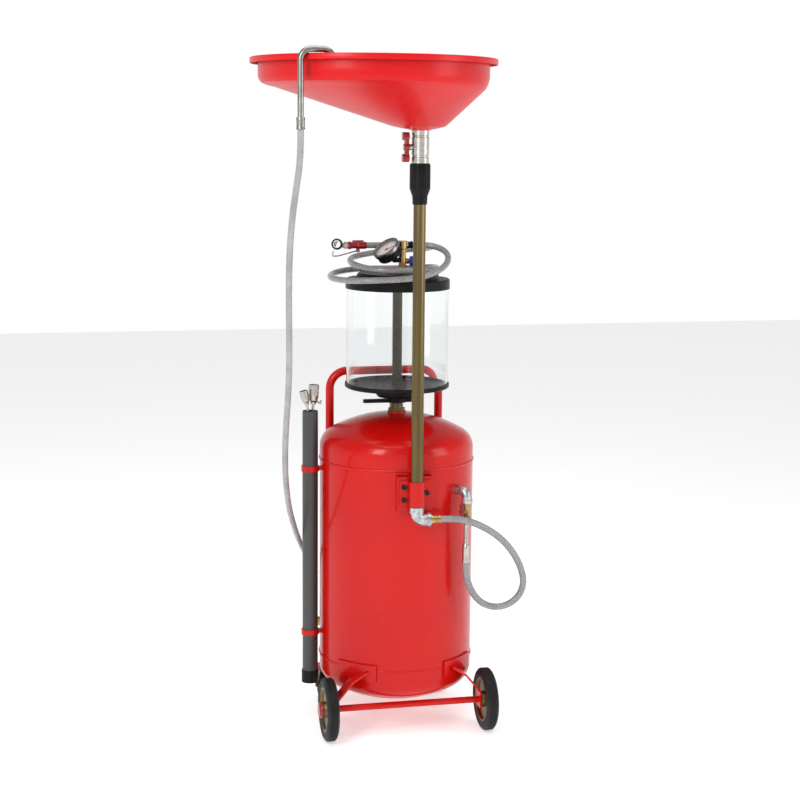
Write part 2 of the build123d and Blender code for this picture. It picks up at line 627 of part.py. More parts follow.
def chamber_centre_tube():
    tube = pipe(CENTRE_TUBE_R, CENTRE_TUBE_R - 2.5, BASE_FLOOR_Z, GLASS_TOP_Z + GASKET)
    for angle in range(0, 360, 90):
        spot = at_angle(angle, 20, BASE_FLOOR_Z + 8)
        tube -= rod((0, 0, BASE_FLOOR_Z + 8), spot, 4)
    return tube


def chamber_lid():
    """Black lid: skirt round the cylinder, flat rim and a raised middle."""
    under = GLASS_TOP_Z + GASKET
    outline = [(8, under), (CHAMBER_R + 0.5, under), (CHAMBER_R + 0.5, LID_EDGE_Z), (LID_R, LID_EDGE_Z),
               (LID_R, LID_RIM_Z - 3), (LID_R - 3, LID_RIM_Z), (108, LID_RIM_Z), (105, LID_RIM_Z + 3),
               (104, LID_TOP_Z - 4), (100, LID_TOP_Z), (8, LID_TOP_Z)]
    return turned(outline)


def lid_nut():
    """Large zinc nut that pulls the lid down on the cylinder."""
    low = LID_TOP_Z
    nut = hexagon((0, 0, low), (0, 0, low + 9), 50) + disc(30, low, low + 2.5)
    return nut - disc(8, low - 1, low + 3) - disc(10, low + 3, low + 10, MANIFOLD_X, MANIFOLD_Y)


BLEED_AIM = Vector(1, -0.13, 0).normalized()
BLEED_START = Vector(MANIFOLD_X, MANIFOLD_Y, BLEED_Z) + BLEED_AIM * 14


def lid_manifold():
    """Brass column on the lid: gauge, suction line and bleed valve screw into it."""
    x, y = MANIFOLD_X, MANIFOLD_Y
    low = LID_TOP_Z + 3
    column = turned([(0, low), (10, low), (10, low + 7), (12, low + 8), (12, low + 14), (9.5, low + 16),
                     (9.5, 1229), (12, 1231), (12, 1249), (10, 1251), (0, 1251)], (x, y, 0))
    column += rod((x, y, LINE_Z), (x + 13, y, LINE_Z), 9.5)
    column += rod((x, y, BLEED_Z), BLEED_START, 7)
    column -= disc(4, low - 1, LINE_Z, x, y) + rod((x, y, LINE_Z), (x + 14, y, LINE_Z), 4)
    return column - rod(BLEED_START - BLEED_AIM * 9, BLEED_START + BLEED_AIM, 2.5 + RUNNING)


def gauge_parts():
    """Vacuum gauge: stem, case, bezel, dial, lens, needle pin and needle."""
    back = GAUGE_FACE - GAUGE_AIM * GAUGE_DEPTH
    knee = back - GAUGE_AIM * 15
    stem = rod(knee, back, 6) + Pos(*knee) * Sphere(6)
    stem += hexagon(back - GAUGE_AIM * 12, back - GAUGE_AIM * 1.5, 15)
    stem += rod(knee, (MANIFOLD_X, MANIFOLD_Y, knee.Z), 6)
    stem -= disc(9.5, LID_TOP_Z + 9, 1229, MANIFOLD_X, MANIFOLD_Y)
    r, d = GAUGE_R, GAUGE_DEPTH
    case = turned([(0, -d), (r - 6, -d), (r - 3, -d + 4), (r - 3, -6), (r - 5, -6), (r - 5, -d + 7),
                   (0, -d + 7)], GAUGE_FACE, GAUGE_AIM)
    bezel = turned([(r - 3, -10), (r, -10), (r, -1.5), (r - 2, 0), (r - 5, -1), (r - 5, -3), (r - 3, -5)],
                   GAUGE_FACE, GAUGE_AIM)
    dial = turned([(0, -10), (r - 5, -10), (r - 5, -9), (0, -9)], GAUGE_FACE, GAUGE_AIM)
    pin = rod(GAUGE_FACE - GAUGE_AIM * 9, GAUGE_FACE - GAUGE_AIM * 4.6, 1.0)
    lens = turned([(0, -4.4), (r - 5.2, -4.4), (r - 5.2, -3), (0, -3)], GAUGE_FACE, GAUGE_AIM)
    plane = Plane(origin=GAUGE_FACE - GAUGE_AIM * 7.6, x_dir=(0.8, -0.5, 0.3), z_dir=GAUGE_AIM)
    blade = extrude(make_face(Polyline((-8, -1.3), (-8, 1.3), (24, 0.4), (24, -0.4), close=True)), 0.8)
    needle = plane * (blade + Cylinder(3.2, 2.4, align=(Align.CENTER, Align.CENTER, Align.MIN)))
    needle -= rod(GAUGE_FACE - GAUGE_AIM * 10, GAUGE_FACE - GAUGE_AIM * 4, 1.0 + RUNNING)
    return stem, case, bezel, dial, lens, pin, needle


def line_connector():
    """Black hose nut on the manifold's right arm."""
    outline = [(5, 0), (9.5, 0), (9.5, 3), (7.8, 4), (7.8, 7), (10, 9), (10.5, 12), (5, 12)]
    return turned(outline, (MANIFOLD_X + 13, MANIFOLD_Y, LINE_Z), (1, 0, 0))


def bleed_knob():
    """Blue fluted knob and its stem, on the manifold's lower right arm."""
    knob = turned([(0, 4.4), (10, 4.4), (13, 6), (13, 15), (11, 17), (0, 17)], BLEED_START, BLEED_AIM)
    plane = Plane(origin=BLEED_START, z_dir=BLEED_AIM)
    for index in range(8):
        knob -= plane * Rot(0, 0, 45 * index) * Pos(14.5, 0, 11) * Cylinder(3.2, 20)
    return knob + rod(BLEED_START - BLEED_AIM * 7, BLEED_START + BLEED_AIM * 5, 2.5)


def bleed_gland():
    """Gland that the bleed valve's stem turns in."""
    gland = hexagon(BLEED_START, BLEED_START + BLEED_AIM * 4, 13)
    return gland - rod(BLEED_START - BLEED_AIM, BLEED_START + BLEED_AIM * 5, 2.5 + RUNNING)


def safety_valve():
    """Small relief valve behind the neck, with its pull ring's cap."""
    x, y = 2.0, 60.0
    low = TANK_TOP_Z - 11.0
    valve = disc(8, low, low + 9, x, y) + hexagon((x, y, low + 5), (x, y, low + 12), 18)
    valve += disc(7, low + 12, low + 22, x, y) + disc(8.5, low + 22, low + 26, x, y)
    return valve


# ---- suction coupler, on the end of the suction hose --------------------------------------
def coupler_body():
    """Red hand-held shut-off body."""
    outline = [(5, 0), (8, 0), (9.3, 3), (9.3, 20), (8, 24), (8, 38), (10, 41), (10, 48), (5, 48)]
    body = turned(outline, (-76, COUPLER_Y, COUPLER_Z), (-1, 0, 0))
    return body + block(-112, -84, COUPLER_Y - 3, COUPLER_Y + 3, COUPLER_Z + 7, COUPLER_Z + 13)


def coupler_nut():
    outline = [(5, 0), (7.5, 0), (7.5, 2), (7, 3), (7, 14), (5, 14)]
    nut = turned(outline, (-124, COUPLER_Y, COUPLER_Z), (-1, 0, 0))
    return nut + (hexagon((-127, COUPLER_Y, COUPLER_Z), (-134, COUPLER_Y, COUPLER_Z), 16)
                  - rod((-120, COUPLER_Y, COUPLER_Z), (-140, COUPLER_Y, COUPLER_Z), 5))


CUP_AIM = Vector(-0.35, -0.93, 0.1).normalized()
CUP_CENTRE = Vector(-151, COUPLER_Y, COUPLER_Z + 3)
CUP_BORE_R = 7.9


def coupler_cup():
    """Steel socket that the dipstick probes plug into."""
    cup = turned([(0, -10), (10, -10), (11.2, -8), (11.2, 9), (CUP_BORE_R, 9), (CUP_BORE_R, -6), (0, -6)],
                 CUP_CENTRE, CUP_AIM)
    return cup - rod((-120, COUPLER_Y, COUPLER_Z), (-138, COUPLER_Y, COUPLER_Z), 9)


def coupler_ring():
    """Black rubber ring round the socket's mouth."""
    return turned([(11.2, 0), (14, 1), (14, 8), (12.5, 10), (CUP_BORE_R + 1.4, 10),
                   (CUP_BORE_R + 1.4, 9), (11.2, 9)], CUP_CENTRE, CUP_AIM)


TRIGGER_PIVOT = Vector(-98, COUPLER_Y, COUPLER_Z - 13.8)


def coupler_lug():
    """Lug under the body that carries the trigger."""
    lug = block(-102, -94, COUPLER_Y - 5, COUPLER_Y + 5, COUPLER_Z - 17, COUPLER_Z - 7)
    lug -= rod((-120, COUPLER_Y, COUPLER_Z), (-80, COUPLER_Y, COUPLER_Z), 9.3)
    lug -= block(-103, -93, COUPLER_Y - 2.4, COUPLER_Y + 2.4, COUPLER_Z - 18, COUPLER_Z - 9.7)
    return lug + rod(TRIGGER_PIVOT + Vector(0, -5, 0), TRIGGER_PIVOT + Vector(0, 5, 0), 1.5)


def coupler_trigger():
    """Bent wire trigger under the coupler."""
    y = COUPLER_Y
    points = [(-101, y, COUPLER_Z - 14), (-150, y, COUPLER_Z - 27), (-166, y, COUPLER_Z - 27),
              (-160, y, COUPLER_Z - 13)]
    line = FilletPolyline(*points, radius=4)
    wire = sweep(Plane(origin=line @ 0, z_dir=line % 0) * Circle(1.7), path=line)
    eye = rod(TRIGGER_PIVOT + Vector(0, -2, 0), TRIGGER_PIVOT + Vector(0, 2, 0), 3.6)
    return wire + eye - rod(TRIGGER_PIVOT + Vector(0, -9, 0), TRIGGER_PIVOT + Vector(0, 9, 0), 1.5 + RUNNING)


# ---- probe holder -------------------------------------------------------------------------
def probe_holder_tube():
    return pipe(HOLDER_R, HOLDER_BORE_R, HOLDER_LOW_Z + 4, HOLDER_TOP_Z, HOLDER_X)


def probe_holder_cap():
    cap = disc(HOLDER_R + 2.3, HOLDER_LOW_Z, HOLDER_LOW_Z + 32, HOLDER_X)
    return cap - disc(HOLDER_R, HOLDER_LOW_Z + 4, HOLDER_LOW_Z + 40, HOLDER_X)


def holder_rings(envelope):
    """Two painted bands round the holder, each with a stub welded to the barrel."""
    rings = []
    for z in HOLDER_RING_Z:
        band = pipe(HOLDER_R + 3, HOLDER_R, z - 7, z + 7, HOLDER_X)
        stub = block(HOLDER_X + HOLDER_R + 1, -TANK_R + 4, -6, 6, z - 5, z + 5)
        rings.append(band + stub - envelope)
    return rings


def probe(spot, lean, height, radius, length):
    """Dipstick suction probe: its thin tube, and the coupler that leans on top."""
    x, y = spot
    neck = Vector(x, y, HOLDER_TOP_Z + 8)
    aim = Vector(sin(radians(lean)), 0, cos(radians(lean)))
    tube = rod((x, y, HOLDER_TOP_Z + 8 - length), neck, 3.5)
    tube += rod(neck, neck + aim * 9, 3.5) + Pos(*neck) * Sphere(3.5)
    tube -= rod((x, y, HOLDER_TOP_Z - length), (x, y, HOLDER_TOP_Z - length + 30), 2.4)
    coupler = turned([(0, 8), (radius * 0.55, 8), (radius * 0.6, 14), (radius * 0.85, 18), (radius, 30),
                      (radius, height), (radius - 2.6, height), (radius - 2.6, height - 16), (0, height - 16)],
                     neck, aim)
    coupler -= rod(neck, neck + aim * 9, 3.5)
    return [tube, coupler]


def probe_lever():
    """Short lever on the side of the wider probe's coupler."""
    x, y = WIDE_PROBE_XY
    base = HOLDER_TOP_Z + 23
    arm = rod((x + 6, y, base), (x + 19, y, base - 5), 2.4)
    arm += rod((x + 19, y, base - 5), (x + 21, y, base + 3), 2.4)
    return arm + Pos(x + 19, y, base - 5) * Sphere(2.4)


# ---- discharge port -----------------------------------------------------------------------
DRAIN_AXIS = at_angle(DRAIN_ANGLE, DRAIN_REACH, 0)
DRAIN_HOSE_Z = 330.0


def discharge_elbow(envelope):
    corner = at_angle(DRAIN_ANGLE, DRAIN_REACH, DRAIN_Z)
    start = at_angle(DRAIN_ANGLE, TANK_R - 6, DRAIN_Z)
    top = Vector(DRAIN_AXIS.X, DRAIN_AXIS.Y, 256)
    elbow = swept_pipe([start, corner, top], 16, 12, 7)
    elbow += pipe(14.5, 7, 248, 256, DRAIN_AXIS.X, DRAIN_AXIS.Y)
    out = at_angle(DRAIN_ANGLE, 1, 0)
    socket = rod(start, start + out * 12, 8.9) - rod(start - out, start + out * 14, 7)
    return (elbow - envelope) + (socket & (disc(TANK_R, 200, 260) - disc(TANK_R - 6, 199, 261)))


def discharge_valve_body():
    x, y = DRAIN_AXIS.X, DRAIN_AXIS.Y
    body = turned([(0, 256), (9, 256), (9, 262), (12, 264), (12, 290), (9, 292), (9, 296), (0, 296)],
                  (x, y, 0))
    body += hexagon((x, y, 257), (x, y, 264), 23) + hexagon((x, y, 289), (x, y, 295), 22)
    aim = Vector(0, 1, 0)
    centre = Vector(x, y, 277)
    body += rod(centre, centre + aim * 16, 6)
    body -= disc(5, 250, 300, x, y)
    return body - rod(centre, centre + aim * 20, 3.0 + RUNNING)


def discharge_valve_lever():
    x, y = DRAIN_AXIS.X, DRAIN_AXIS.Y
    centre = Vector(x, y, 277)
    aim = Vector(0, 1, 0)
    stem = rod(centre + aim * 6.5, centre + aim * 23, 3.0) + rod(centre + aim * 16.5, centre + aim * 21, 8)
    arm = block(x - 5, x + 5, y + 16.5, y + 20.5, 277, 335)
    return stem + arm + rod((x, y + 16.5, 335), (x, y + 20.5, 335), 6)


def discharge_hose_tail():
    x, y = DRAIN_AXIS.X, DRAIN_AXIS.Y
    outline = [(4, 296), (8, 296), (8, 304), (9, 306), (9, DRAIN_HOSE_Z - 4), (8.2, DRAIN_HOSE_Z),
               (4, DRAIN_HOSE_Z)]
    return turned(outline, (x, y, 0))


def tank_dip_tube():
    """Pipe inside the tank from the discharge port down to its lowest point."""
    start = at_angle(DRAIN_ANGLE, TANK_R - 6, DRAIN_Z)
    corner = at_angle(DRAIN_ANGLE, 60, DRAIN_Z)
    return swept_pipe([start, corner, Vector(corner.X, corner.Y, TANK_LOW_Z + 16)], 30, 9, 7)


AIR_ANGLE = 28.0          # compressed-air nipple, at the rear right of the barrel
AIR_Z = 640.0


def air_inlet(envelope):
    """Compressed-air plug nipple, pointing straight out of the barrel."""
    base, out = at_angle(AIR_ANGLE, TANK_R, AIR_Z), at_angle(AIR_ANGLE, 1, 0)
    stem = rod(base - out * 10, base + out * 4, 9) - envelope
    stem += hexagon(base + out * 4, base + out * 11, 19)
    stem += turned([(0, 11), (6, 11), (6, 29), (4.6, 31), (4.6, 34), (0, 34)], base, out)
    return stem - rod(base - out * 20, base + out * 40, 2.5)


# ---- hoses --------------------------------------------------------------------------------
# Each route is the hose's centre line, as points that its straight runs join.
RETURN_ROUTE = [
    (60, -230, 577), (90, -230, 577), (120, -229.5, 572.5), (149, -228, 563), (176, -226, 549.5),
    (202, -224, 533), (227, -221.5, 512), (249, -218.5, 487), (267, -215, 459), (280, -211.5, 430),
    (287, -208, 400), (281.5, -204.5, 371.5), (264, -201.5, 348.5), (238, -198.5, 335.5),
    (209.5, -195.5, 334), (183, -193, 344.5), (162.5, -191, 364), (148.5, -189.2, 391),
    (139.19, -188.1, 424), (139.19, -188.1, 453),
]
SUCTION_ROUTE = [
    (37, 3, 1240), (60, 3, 1240), (84, -3, 1238.5), (103, -18, 1234), (114, -40, 1226), (116, -65, 1215),
    (107, -92, 1202), (88, -115, 1189), (58, -133, 1177), (20, -145, 1169), (-22, -151, 1165.5),
    (-66, -150, 1164), (-112, -136, 1162), (-151, -105, 1160), (-173, -58, 1160), (-177, -5, 1161),
    (-164, 46, 1164), (-134, 87, 1168), (-92, 114, 1171), (-42, 127, 1171), (10, 128, 1171),
    (58, 113, 1173), (93, 79, 1177), (105, 34, 1181), (101, -13, 1182.5), (80, -55, 1182), (43, -86, 1182),
    (-3, -99, 1182), (-51, -95, 1183), (-91, -69, 1186), (-116, -27, 1192), (-121, 22, 1198),
    (-108, 70, 1203), (-78, 112, 1207), (-35, 141, 1211), (10, 152, 1214), (50, 150, 1217),
    (80, 139, 1220), (99.5, 118.5, 1223), (106.5, 92, 1226), (102, 66.5, 1229), (87, 46, 1232),
    (63, 33.5, 1235), (33, 30.6, 1237.3), (-4, 30.2, 1238.2), (-42, 30, 1238), (-76, 30, 1238),
]
DRAIN_ROUTE = [
    (-326, -450, 1526), (-326, -450, 1462), (-334, -441, 1400), (-341, -428, 1336),
    (-344, -411, 1270), (-343, -389, 1200), (-339, -364, 1128), (-334, -336, 1054),
    (-329, -305, 979), (-326, -271, 905), (-325, -234, 833), (-322, -195, 763),
    (-315, -152, 696), (-304, -107, 634), (-290, -62, 578), (-273, -20, 530), (-257, 20, 491),
    (-242, 55, 460), (-227, 84, 433), (-214.5, 103, 409), (-206, 114.5, 388.5), (-200.8, 121, 368.5),
    (-198.443, 124.001, 349), (-198.443, 124.001, 330),
]


def report_route(name, points, bends, radius, solid):
    path = FilletPolyline(*points, radius=bends)
    share = solid.volume / (path.length * pi * radius ** 2)
    low = min(bends)
    print(f"{name}: {path.length:.0f} mm long, tightest arc {low:.0f} mm, volume/section {share:.3f}")
    print("   radii", [round(bend) for bend in bends])


def hose(name, points, radius):
    """Solid tube along the route: straight runs joined by the largest arcs they allow."""
    spots = [Vector(point) for point in points]
    bends = []
    for before, here, after in zip(spots, spots[1:], spots[2:]):
        first, second = here - before, after - here
        turn = radians(first.get_angle(second))
        bends.append(0.45 * min(first.length, second.length) / tan(turn / 2))
    path = FilletPolyline(*points, radius=bends)
    solid = sweep(Plane(origin=path @ 0, z_dir=path % 0) * Circle(radius), path=path)
    report_route(name, points, bends, radius, solid)
    return solid


# ---- assembly -----------------------------------------------------------------------------
def both(shape):
    """The right-hand piece and its mirror image."""
    return [shape, mirrored(shape)]


def tank_nodes(envelope):
    top_head, bottom_head = tank_top_head(), tank_bottom_head()
    return {
        "tank_barrel": tank_barrel(),
        "tank_top_head": top_head,
        "tank_bottom_head": bottom_head,
        "tank_dip_tube": tank_dip_tube(),
        "tank_fittings": [safety_valve() - envelope, air_inlet(envelope)],
        "push_handle": push_handle(envelope, top_head),
        "axle_legs": both(axle_leg_right(envelope, bottom_head)),
        "front_axle": [front_axle_tube(), axle_shaft()] + axle_nuts(),
        "caster_mounts": both(caster_mount_right(envelope)) + both(caster_kingpin_right()),
        "tank_port_elbow": tank_port_elbow(envelope),
        "return_valve_body": return_valve_body(),
        "return_valve_lever": return_valve_lever(),
        "return_hose_ends": [return_ferrule(), return_hose_tail()],
        "discharge_valve": [discharge_elbow(envelope), discharge_valve_body(), discharge_hose_tail()],
        "discharge_valve_lever": discharge_valve_lever(),
        "probe_holder_tube": probe_holder_tube(),
        "probe_holder_cap": probe_holder_cap(),
        "probe_holder_rings": holder_rings(envelope),
        "slim_probe": probe(SLIM_PROBE_XY, -14, 46, 11, 640),
        "wide_probe": probe(WIDE_PROBE_XY, 3, 58, 13.5, 680) + [probe_lever()],
    }


def rolling_nodes():
    nodes = {}
    for name, side in (("left", -1), ("right", 1)):
        tyre, rim, cap = wheel_parts(side)
        nodes[f"tyre_{name}"] = tyre
        nodes[f"wheel_rim_{name}"] = [rim, cap]
        place = mirrored if side < 0 else (lambda shape: shape)
        nodes[f"caster_fork_{name}"] = [place(caster_fork_right()), place(caster_axle_right())]
        nodes[f"caster_wheel_{name}"] = place(caster_wheel_right())
    return nodes


def mast_nodes(envelope):
    return {
        "mast_bracket": mast_bracket(envelope),
        "mast_clamp": mast_clamp(),
        "clamp_bolts": clamp_bolts(),
        "mast_outer_tube": mast_outer_tube(),
        "mast_inner_tube": mast_inner_tube(),
        "mast_lock_sleeve": mast_lock_sleeve(),
        "mast_elbow": mast_elbow(),
        "pan_shell": pan_shell(),
        "pan_valve_body": pan_valve_body(),
        "pan_valve_ball": [pan_valve_ball(), pan_valve_stem()],
        "pan_valve_handle": pan_valve_handle(),
        "discharge_hook": [discharge_hook(), hook_ferrule()],
    }


def chamber_nodes():
    stem, case, bezel, dial, lens, pin, needle = gauge_parts()
    return {
        "chamber_neck": chamber_neck(),
        "drain_valve_lever": drain_valve_lever(),
        "chamber_base": chamber_base(),
        "chamber_gaskets": [gasket_ring(BASE_FLOOR_Z), gasket_ring(GLASS_TOP_Z)],
        "chamber_cylinder": chamber_cylinder(),
        "chamber_centre_tube": chamber_centre_tube(),
        "chamber_lid": chamber_lid(),
        "lid_manifold": [lid_manifold(), lid_nut(), bleed_gland()],
        "line_connector": line_connector(),
        "bleed_knob": bleed_knob(),
        "gauge_case": [stem, case, bezel],
        "gauge_dial": [dial, pin],
        "gauge_lens": lens,
        "gauge_needle": needle,
    }


def hose_nodes():
    """The three hoses, and the coupler on the end of the suction hose."""
    return {
        "coupler_body": coupler_body() + coupler_lug(),
        "coupler_socket": [coupler_nut(), coupler_cup(), coupler_ring()],
        "coupler_trigger": coupler_trigger(),
        "return_hose": hose("return_hose", RETURN_ROUTE, RETURN_HOSE_R),
        "suction_hose": hose("suction_hose", SUCTION_ROUTE, SUCTION_HOSE_R),
        "discharge_hose": hose("discharge_hose", DRAIN_ROUTE, DRAIN_HOSE_R),
    }


def as_shape(pieces):
    """One compound of the separate solids of a sub-part."""
    pieces = pieces if isinstance(pieces, (list, tuple)) else [pieces]
    solids = [solid for piece in pieces for solid in piece.solids()]
    return solids[0] if len(solids) == 1 else Compound(solids)


def footprint_shift(shapes):
    """Move that puts the footprint's centre, on the ground, at the origin."""
    boxes = [shape.bounding_box() for shape in shapes]
    low_x, high_x = min(box.min.X for box in boxes), max(box.max.X for box in boxes)
    low_y, high_y = min(box.min.Y for box in boxes), max(box.max.Y for box in boxes)
    return Vector(-(low_x + high_x) / 2, -(low_y + high_y) / 2, -min(box.min.Z for box in boxes))


envelope = tank_envelope()
rigid = {**tank_nodes(envelope), **rolling_nodes(), **mast_nodes(envelope), **chamber_nodes()}
rigid = {name: as_shape(pieces) for name, pieces in rigid.items()}
loose = {name: as_shape(pieces) for name, pieces in hose_nodes().items()}

shift = footprint_shift(rigid.values())
print(f"tank axis at {shift.X:.4f}, {shift.Y:.4f}")
nodes = {name: Pos(*shift) * shape for name, shape in {**rigid, **loose}.items()}

os.makedirs("parts", exist_ok=True)
for name, shape in nodes.items():
    export_step(shape, f"parts/{name}.step")
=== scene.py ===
import json
from math import cos, pi, radians, sin

import bpy
from mathutils import Matrix, Vector


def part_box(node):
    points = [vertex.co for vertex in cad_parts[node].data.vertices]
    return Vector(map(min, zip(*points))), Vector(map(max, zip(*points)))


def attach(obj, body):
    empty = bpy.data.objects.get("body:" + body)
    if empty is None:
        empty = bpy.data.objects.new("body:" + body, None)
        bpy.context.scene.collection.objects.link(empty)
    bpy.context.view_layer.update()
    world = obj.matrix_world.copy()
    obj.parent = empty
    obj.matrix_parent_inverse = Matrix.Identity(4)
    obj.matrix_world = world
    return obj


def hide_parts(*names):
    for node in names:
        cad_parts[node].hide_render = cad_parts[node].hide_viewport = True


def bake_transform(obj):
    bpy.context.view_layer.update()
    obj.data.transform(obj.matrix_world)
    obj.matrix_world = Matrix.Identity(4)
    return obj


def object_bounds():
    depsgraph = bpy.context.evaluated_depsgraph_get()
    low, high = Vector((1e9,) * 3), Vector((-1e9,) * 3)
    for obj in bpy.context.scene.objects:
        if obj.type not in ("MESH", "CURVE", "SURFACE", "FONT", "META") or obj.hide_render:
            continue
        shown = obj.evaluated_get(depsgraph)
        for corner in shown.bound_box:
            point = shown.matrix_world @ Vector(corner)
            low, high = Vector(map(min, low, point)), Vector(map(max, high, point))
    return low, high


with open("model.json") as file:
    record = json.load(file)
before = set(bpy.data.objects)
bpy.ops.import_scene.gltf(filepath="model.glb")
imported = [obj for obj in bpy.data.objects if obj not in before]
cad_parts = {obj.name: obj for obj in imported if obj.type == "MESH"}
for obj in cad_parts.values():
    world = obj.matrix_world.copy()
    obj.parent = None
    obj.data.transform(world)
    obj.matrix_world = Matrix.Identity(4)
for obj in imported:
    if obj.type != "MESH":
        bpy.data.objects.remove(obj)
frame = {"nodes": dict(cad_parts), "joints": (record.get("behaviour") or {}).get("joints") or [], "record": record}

CAD_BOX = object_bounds()
NODES = frame["nodes"]


# ---- places taken from the frame ----------------------------------------------------------
def middle(node):
    low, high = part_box(node)
    return (Vector(low) + Vector(high)) / 2


TANK = middle("tank_barrel")
TANK.z = 0.0
UP = Vector((0, 0, 1))


def at(x, y, z):
    """Point given in metres from the tank's axis on the ground."""
    return TANK + Vector((x, y, z))


MAST = middle("mast_outer_tube")
PAN = middle("pan_shell")
PAN_LOW, PAN_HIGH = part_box("pan_shell")
PAN_LIP_R = (PAN_HIGH[0] - PAN_LOW[0]) / 2
BARREL_LOW, BARREL_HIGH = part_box("tank_barrel")
TANK_R = (BARREL_HIGH[0] - BARREL_LOW[0]) / 2


# ---- camera, floor and light --------------------------------------------------------------
CAMERA_ROLL = -0.0087     # radians


def make_camera():
    data = bpy.data.cameras.new("camera")
    data.lens = 75.18
    data.sensor_width = 36.0
    camera = bpy.data.objects.new("camera", data)
    forward = Vector((0.22238, 0.96232, -0.15646)).normalized()
    level = forward.cross(UP).normalized()
    roll = Matrix.Rotation(CAMERA_ROLL, 3, forward)
    right = roll @ level
    turn = Matrix((right, right.cross(forward), -forward)).transposed()
    camera.matrix_world = Matrix.Translation(at(-0.94918, -4.14524, 1.51528)) @ turn.to_4x4()
    bpy.context.collection.objects.link(camera)
    bpy.context.scene.camera = camera


def make_floor():
    """Pale floor that fades into the backdrop."""
    mesh = bpy.data.meshes.new("floor")
    half = 9.0
    corners = [(-half, -half, 0), (half, -half, 0), (half, half, 0), (-half, half, 0)]
    mesh.from_pydata(corners, [], [(0, 1, 2, 3)])
    floor = bpy.data.objects.new("floor", mesh)
    bpy.context.collection.objects.link(floor)
    floor.location.z = CAD_BOX[0][2] - 0.0005
    material = bpy.data.materials.new("studio_floor")
    material.use_nodes = True
    shader = material.node_tree.nodes["Principled BSDF"]
    shader.inputs["Base Color"].default_value = (0.98, 0.98, 0.98, 1)
    shader.inputs["Roughness"].default_value = 0.9
    shader.inputs["Emission Color"].default_value = (1, 1, 1, 1)
    shader.inputs["Emission Strength"].default_value = 0.42
    mesh.materials.append(material)


def area_light(name, place, target, size, power):
    data = bpy.data.lights.new(name, "AREA")
    data.shape = "RECTANGLE"
    data.size, data.size_y = size
    data.energy = power
    light = bpy.data.objects.new(name, data)
    light.location = place
    light.rotation_euler = (Vector(place) - Vector(target)).to_track_quat("Z", "Y").to_euler()
    bpy.context.collection.objects.link(light)


def make_lights():
    world = bpy.data.worlds.new("studio")
    world.use_nodes = True
    nodes, links = world.node_tree.nodes, world.node_tree.links
    nodes["Background"].inputs["Color"].default_value = (1, 1, 1, 1)
    height = nodes.new("ShaderNodeSeparateXYZ")
    links.new(nodes.new("ShaderNodeTexCoord").outputs["Generated"], height.inputs[0])
    fade = nodes.new("ShaderNodeMapRange")
    for key, value in (("From Min", 0.08), ("From Max", 0.35), ("To Min", 1.0), ("To Max", 0.4)):
        fade.inputs[key].default_value = value
    links.new(height.outputs[2], fade.inputs["Value"])
    links.new(fade.outputs[0], nodes["Background"].inputs["Strength"])
    bpy.context.scene.world = world
    bpy.context.scene.view_settings.view_transform = "Standard"
    chest = at(0, 0, 0.8)
    area_light("key", at(-2.2, -2.6, 2.6), chest, (1.0, 1.8), 62)
    area_light("fill", at(2.6, -1.8, 1.6), chest, (1.2, 2.2), 26)
    area_light("top", at(0, -0.4, 3.4), chest, (2.2, 2.2), 40)


make_camera()
make_floor()
make_lights()


# ---- material nodes -----------------------------------------------------------------------
class Surface:
    """One node material; each method adds a node and returns its output."""

    def __init__(self, name, **constants):
        self.material = bpy.data.materials.new(name)
        self.material.use_nodes = True
        self.tree = self.material.node_tree
        self.shader = self.tree.nodes["Principled BSDF"]
        self.place = self.node("ShaderNodeTexCoord").outputs["Object"]
        for key, value in constants.items():
            self.shader.inputs[key.replace("_", " ")].default_value = value

    def node(self, kind, inputs=(), **settings):
        made = self.tree.nodes.new(kind)
        for key, value in settings.items():
            setattr(made, key, value)
        for key, value in dict(inputs).items():
            self.feed(made.inputs[key], value)
        return made

    def feed(self, socket, value):
        if isinstance(value, bpy.types.NodeSocket):
            self.tree.links.new(value, socket)
        else:
            socket.default_value = value

    def math(self, operation, first, second=0.0):
        return self.node("ShaderNodeMath", {0: first, 1: second}, operation=operation).outputs[0]

    def noise(self, scale, detail=3.0, stretch=(1, 1, 1)):
        spot = self.node("ShaderNodeMapping", {"Vector": self.place, "Scale": stretch}).outputs[0]
        return self.node("ShaderNodeTexNoise", {"Vector": spot, "Scale": scale, "Detail": detail}).outputs[0]

    def between(self, factor, low, high, start=0.0, end=1.0):
        """A number that goes from low to high as factor goes from start to end."""
        inputs = {"Value": factor, "From Min": start, "From Max": end, "To Min": low, "To Max": high}
        return self.node("ShaderNodeMapRange", inputs).outputs[0]

    def blend(self, factor, first, second):
        ramp = self.node("ShaderNodeValToRGB", {"Fac": factor})
        stops = ramp.color_ramp.elements
        ramp.color_ramp.interpolation = "EASE"
        stops[0].position, stops[0].color = 0.2, (*first, 1)
        stops[1].position, stops[1].color = 0.8, (*second, 1)
        return ramp.outputs[0]

    def mix(self, factor, first, second):
        made = self.node("ShaderNodeMix", data_type="RGBA")
        self.feed(made.inputs["Factor"], factor)
        self.feed(made.inputs["A"], first)
        self.feed(made.inputs["B"], second)
        return next(socket for socket in made.outputs if socket.type == "RGBA")

    def set(self, key, value):
        self.feed(self.shader.inputs[key], value)
        return self

    def bump(self, height, distance, strength=1.0):
        inputs = {"Height": height, "Distance": distance, "Strength": strength}
        return self.set("Normal", self.node("ShaderNodeBump", inputs).outputs[0])


def varied(name, dark, light, rough, patch=14.0, grain=500.0, depth=0.00004, stretch=(1, 1, 1),
           **constants):
    """Finish with soft patches of two tints, uneven gloss and a fine grain in relief."""
    made = Surface(name, **constants)
    made.set("Base Color", made.blend(made.noise(patch, 4.0, stretch), dark, light))
    made.set("Roughness", made.between(made.noise(patch * 2.3, 3.0, stretch), *rough))
    return made.bump(made.noise(grain, 2.0, stretch), depth)


